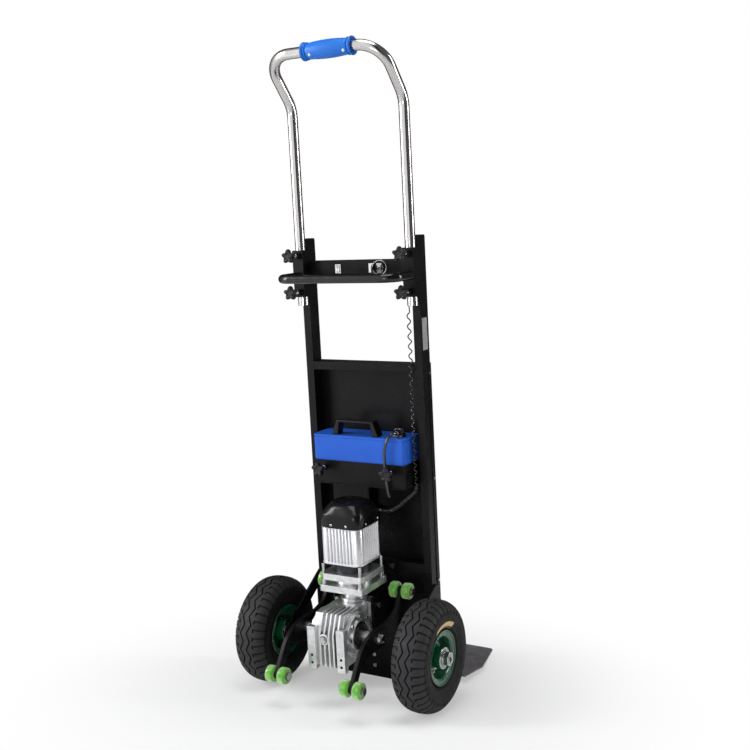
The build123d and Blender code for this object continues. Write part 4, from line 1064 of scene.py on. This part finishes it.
# ---------- controls ----------
def rocker():
    """The white rocker, a shallow V with a pip on each half."""
    low, high = lean_box("rocker_switch")
    middle = (low + high) / 2
    tip = high.z - middle.z
    dip = 2.5 * MM
    section = [(low.y, -tip), (low.y + 0.5 * dip, -0.5 * tip), (low.y + dip, 0),
               (low.y + 0.5 * dip, 0.5 * tip), (low.y, tip), (high.y, tip), (high.y, -tip)]
    bm = bmesh.new()
    rings = [[bm.verts.new(Vector((x, y, middle.z + z))) for y, z in section]
             for x in (low.x, high.x)]
    bridge(bm, rings)
    for ring in rings:
        bm.faces.new(ring)
    for sign in (-1, 1):
        outward = Vector((0, -tip, -sign * dip)).normalized()
        seat = Vector((middle.x, low.y + 0.42 * dip, middle.z + sign * 0.58 * tip))
        lathe(bm, mm((0, 0), (1.3, 0), (1.1, 0.35), (0, 0.35)), aim(seat, outward), 16, 1)
    piece("rocker_white", bm, "rocker_switch", ["white_plastic", "seal_rubber"],
          replaces=("rocker_switch",), bevel=0.3 * MM)


def key():
    """The turning plug, the key's blade and moulded bow, and its split ring."""
    low, high = lean_box("key_switch")
    face = Vector(((low.x + high.x) / 2, low.y, (low.z + high.z) / 2))
    bm = bmesh.new()
    lathe(bm, mm((0, -14), (4.9, -14), (4.9, 2.0), (4.3, 2.6), (0, 2.6)), aim(face, -Y), 32)
    slab(bm, face + Vector((-1.1, -14, -3.6)) * MM, face + Vector((1.1, -1, 3.6)) * MM)
    bow = aim(face + Vector((0, -23, 0)) * MM, X)
    bow_angles = [2 * pi * step / 40 for step in range(40)]
    bow_levels = [(0.84, -2.8), (0.95, -2.4), (1, -1.4), (1, 1.4), (0.95, 2.4), (0.84, 2.8)]
    loft(bm, superellipse(11.5 * MM, 2.8, bow_angles),
         [(scale, height * MM) for scale, height in bow_levels], bow, 1)
    hole = face + Vector((2.5, -31, 1)) * MM
    across = Vector((0.86, 0.30, 0.16)).normalized()
    upward = (Z - across * Z.dot(across)).normalized()
    radius, wire, pitch = 16.5 * MM, 0.85 * MM, 1.8 * MM
    centre = hole + across * (radius - 1.5 * MM)
    turns, steps = 1.9, 40
    coil = []
    for step in range(round(turns * steps) + 1):
        angle = 2 * pi * step / steps + 0.6
        flat = across * cos(angle) + upward * sin(angle)
        coil.append(centre + flat * radius + across.cross(upward) * (pitch * (step / steps - 0.5)))
    tube(bm, coil, wire, 8)
    piece("ignition_key_cut", bm, "ignition_key", ["zinc", "seal_rubber"], replaces=("ignition_key",))


def plates():
    """The blank white plate beside the key and the blank silver label on the right upright."""
    panel = lean_box("control_box")[0].y
    thickness, left, right, bottom, top = 0.7, 29, 44, 1018.5, 1040
    low, high = at(left, 0, bottom), at(right, 0, top)
    low.y = panel - thickness * MM
    high.y = panel
    bm = bmesh.new()
    slab(bm, low, high)
    pip = at(38.5, 0, 1033)
    pip.y = low.y
    lathe(bm, mm((0, 0), (3.2, 0), (3.0, 0.4), (0, 0.4)), aim(pip, -Y), 20, 1)
    piece("key_plate", bm, "root", ["white_plastic", "seal_rubber"], bevel=0.2 * MM)
    rail = lean_box("upright_right")[1].x
    low, high = at(0, 6, 834), at(0, 30, 910)
    low.x = rail
    high.x = rail + 0.3 * MM
    bm = bmesh.new()
    slab(bm, low, high)
    piece("upright_label", bm, "root", ["label"], bevel=0.1 * MM)


# ---------- battery ----------
def battery_plug():
    """The output plug on the lid, its clip and its cable, which hangs behind the case."""
    base = at(99, -14, 0)
    base.z = lean_box("battery_lid")[1].z
    bm = bmesh.new()
    loft(bm, rounded_rectangle(14 * MM, 11 * MM, 4 * MM), [(1, 0), (1, 5 * MM), (0.93, 6.4 * MM)],
         Matrix.Translation(base))
    wide, narrow, rib_pitch, first_rib = 8.6, 7.4, 6, 3
    profile = [(0, -3), (8.0, -3), (wide, -2), (wide, first_rib)]
    for rib in range(2):
        foot = first_rib + rib * rib_pitch
        profile += [(narrow, foot + 0.6), (narrow, foot + 2.6), (wide, foot + 3.2), (wide, foot + 6)]
    profile += [(6.6, 16.6), (5.2, 24), (3.0, 25), (0, 25)]
    lathe(bm, mm(*profile), aim(base + Vector((2, 8, 11)) * MM, -Y), 28)
    strap = [base + Vector(point) * MM for point in
             ((14, 6, 5), (13.5, -2, 13), (9, -8, 19), (0, -9, 21), (-8, -8, 17), (-12, -3, 9),
              (-12, 3, 5))]
    tube(bm, curve_through(strap), 1.6 * MM, 10)
    cable = [base + Vector((2, -14, 11)) * MM, at(96, -44, 640), at(88, -56, 626), at(81, -57, 603),
             at(79.5, -57, 580), at(81, -57, 552), at(83, -57, 520), at(83, -55, 500),
             at(84, -50, 488)]
    tube(bm, curve_through(cable), 3.6 * MM, 16)
    piece("battery_plug_lead", bm, "battery", ["cable"], replaces=("battery_lead",))


# ---------- stage ----------
FLOOR_HALF = 2.6  # metres from the middle to an edge
FLOOR_FADE = (0.25, 0.90)  # metres from the middle: matt paint up to the first, sweep past the second
LEFT_OF_CAMERA = (-0.34, -0.94, 0.0)  # towards the brightest part of the surroundings
ACROSS_STRIP = (0.72, 0.69, 0.0)  # square to the plane the dark strip lies in
STRIP_EDGES = (0.12, 0.24)  # sines of the angles off that plane where dark ends and light is full


def eased(nodes, links, value, span, result):
    """A socket that eases from one level to another while the value crosses the span."""
    ease = nodes.new("ShaderNodeMapRange")
    ease.interpolation_type = "SMOOTHSTEP"
    links.new(value, ease.inputs["Value"])
    for socket, number in zip(("From Min", "From Max", "To Min", "To Max"), (*span, *result)):
        ease.inputs[socket].default_value = number
    return ease.outputs["Result"]


def maths(nodes, links, operation, first, second):
    node = nodes.new("ShaderNodeMath")
    node.operation = operation
    links.new(first, node.inputs[0])
    links.new(second, node.inputs[1])
    return node.outputs[0]


def shader_mix(nodes, links, factor, first, second, output):
    """Blends two shaders into the output."""
    mix = nodes.new("ShaderNodeMixShader")
    for socket, source in zip(mix.inputs, (factor, first.outputs[0], second.outputs[0])):
        links.new(source, socket)
    links.new(mix.outputs[0], nodes[output].inputs["Surface"])


def seen_directly(nodes):
    return nodes.new("ShaderNodeLightPath").outputs["Is Camera Ray"]


def floor_paint():
    """Matt white near the trolley, easing to an even white sweep further off."""
    paint = bpy.data.materials.new("floor")
    paint.use_nodes = True
    nodes, links = paint.node_tree.nodes, paint.node_tree.links
    matt = nodes["Principled BSDF"]
    matt.inputs["Base Color"].default_value = (0.95, 0.95, 0.95, 1)
    matt.inputs["Roughness"].default_value = 0.9
    matt.inputs["Specular IOR Level"].default_value = 0.1
    sweep = nodes.new("ShaderNodeEmission")
    away = nodes.new("ShaderNodeVectorMath")
    away.operation = "LENGTH"
    links.new(nodes.new("ShaderNodeTexCoord").outputs["Object"], away.inputs[0])
    far = eased(nodes, links, away.outputs["Value"], FLOOR_FADE, (0.35, 1.0))
    share = maths(nodes, links, "MULTIPLY", far, seen_directly(nodes))
    shader_mix(nodes, links, share, matt, sweep, "Material Output")
    return paint


def floor():
    """A plain pale studio floor."""
    bm = bmesh.new()
    bmesh.ops.create_grid(bm, x_segments=1, y_segments=1, size=FLOOR_HALF)
    mesh = bpy.data.meshes.new("studio_floor")
    bm.to_mesh(mesh)
    bm.free()
    mesh.materials.append(floor_paint())
    made = bpy.data.objects.new("studio_floor", mesh)
    bpy.context.scene.collection.objects.link(made)


def softbox(name, place, target, size, watts):
    """A rectangular area light that faces a target."""
    light = bpy.data.lights.new(name, "AREA")
    light.shape = "RECTANGLE"
    light.size, light.size_y = size
    light.energy = watts
    made = bpy.data.objects.new(name, light)
    made.location = place
    made.rotation_euler = (Vector(target) - Vector(place)).to_track_quat("-Z", "Y").to_euler()
    bpy.context.scene.collection.objects.link(made)


def facing(nodes, links, towards, span, result):
    """A level that eases as the direction looked in turns to the given one."""
    dot = nodes.new("ShaderNodeVectorMath")
    dot.operation = "DOT_PRODUCT"
    dot.inputs[1].default_value = towards
    links.new(nodes.new("ShaderNodeTexCoord").outputs["Generated"], dot.inputs[0])
    return eased(nodes, links, dot.outputs["Value"], span, result)


def surroundings():
    """White where the camera sees them. What lights the trolley is brightest on the camera's left,
    dim behind the trolley, and has a narrow dark strip that draws a line down the bright tubes."""
    world = bpy.data.worlds.new("studio")
    bpy.context.scene.world = world
    world.use_nodes = True
    nodes, links = world.node_tree.nodes, world.node_tree.links
    seen = nodes["Background"]
    seen.inputs["Color"].default_value = (1, 1, 1, 1)
    unseen = nodes.new("ShaderNodeBackground")
    unseen.inputs["Color"].default_value = (0.97, 0.98, 1, 1)
    near, far = STRIP_EDGES
    pale = facing(nodes, links, LEFT_OF_CAMERA, (0.10, 0.90), (0.10, 1.10))
    before = facing(nodes, links, ACROSS_STRIP, (-far, -near), (1.0, 0.0))
    beyond = facing(nodes, links, ACROSS_STRIP, (near, far), (0.0, 1.0))
    strip = maths(nodes, links, "ADD", before, beyond)
    links.new(maths(nodes, links, "MULTIPLY", pale, strip), unseen.inputs["Strength"])
    shader_mix(nodes, links, seen_directly(nodes), unseen, seen, "World Output")


def studio_lights():
    """Soft boxes on both sides, overhead and low in front."""
    middle = (0, 0, 0.7)
    softbox("key_left", (-2.5, -2.0, 1.7), middle, (0.8, 2.4), 70)
    softbox("key_right", (2.5, 1.2, 1.5), middle, (0.4, 2.4), 34)
    softbox("overhead", (0.2, -0.5, 3.2), middle, (1.4, 1.4), 30)
    softbox("low_front", (0.9, -2.9, 0.25), (0, 0, 0.25), (0.9, 0.25), 10)


def camera():
    """The camera behind and to the right of the trolley, nearly level."""
    turned, tipped_down = 29.98, 3.82
    lens = bpy.data.cameras.new("camera")
    lens.lens = 52.83
    made = bpy.data.objects.new("camera", lens)
    made.location = (1.3514, -2.2202, 0.9449)
    made.rotation_euler = (radians(90 - tipped_down), 0, radians(turned))
    bpy.context.scene.collection.objects.link(made)
    bpy.context.scene.camera = made


def build():
    """Every piece of the visual model, then the stage."""
    finish_cad_nodes()
    round_cad_edges()
    wheels()
    rollers()
    knobs()
    grip()
    coiled_cord()
    motor_cap()
    motor_body()
    gearbox_trim()
    rocker()
    key()
    plates()
    battery_plug()
    floor()
    surroundings()
    studio_lights()
    camera()
    bpy.context.scene.view_settings.view_transform = "Standard"


build()
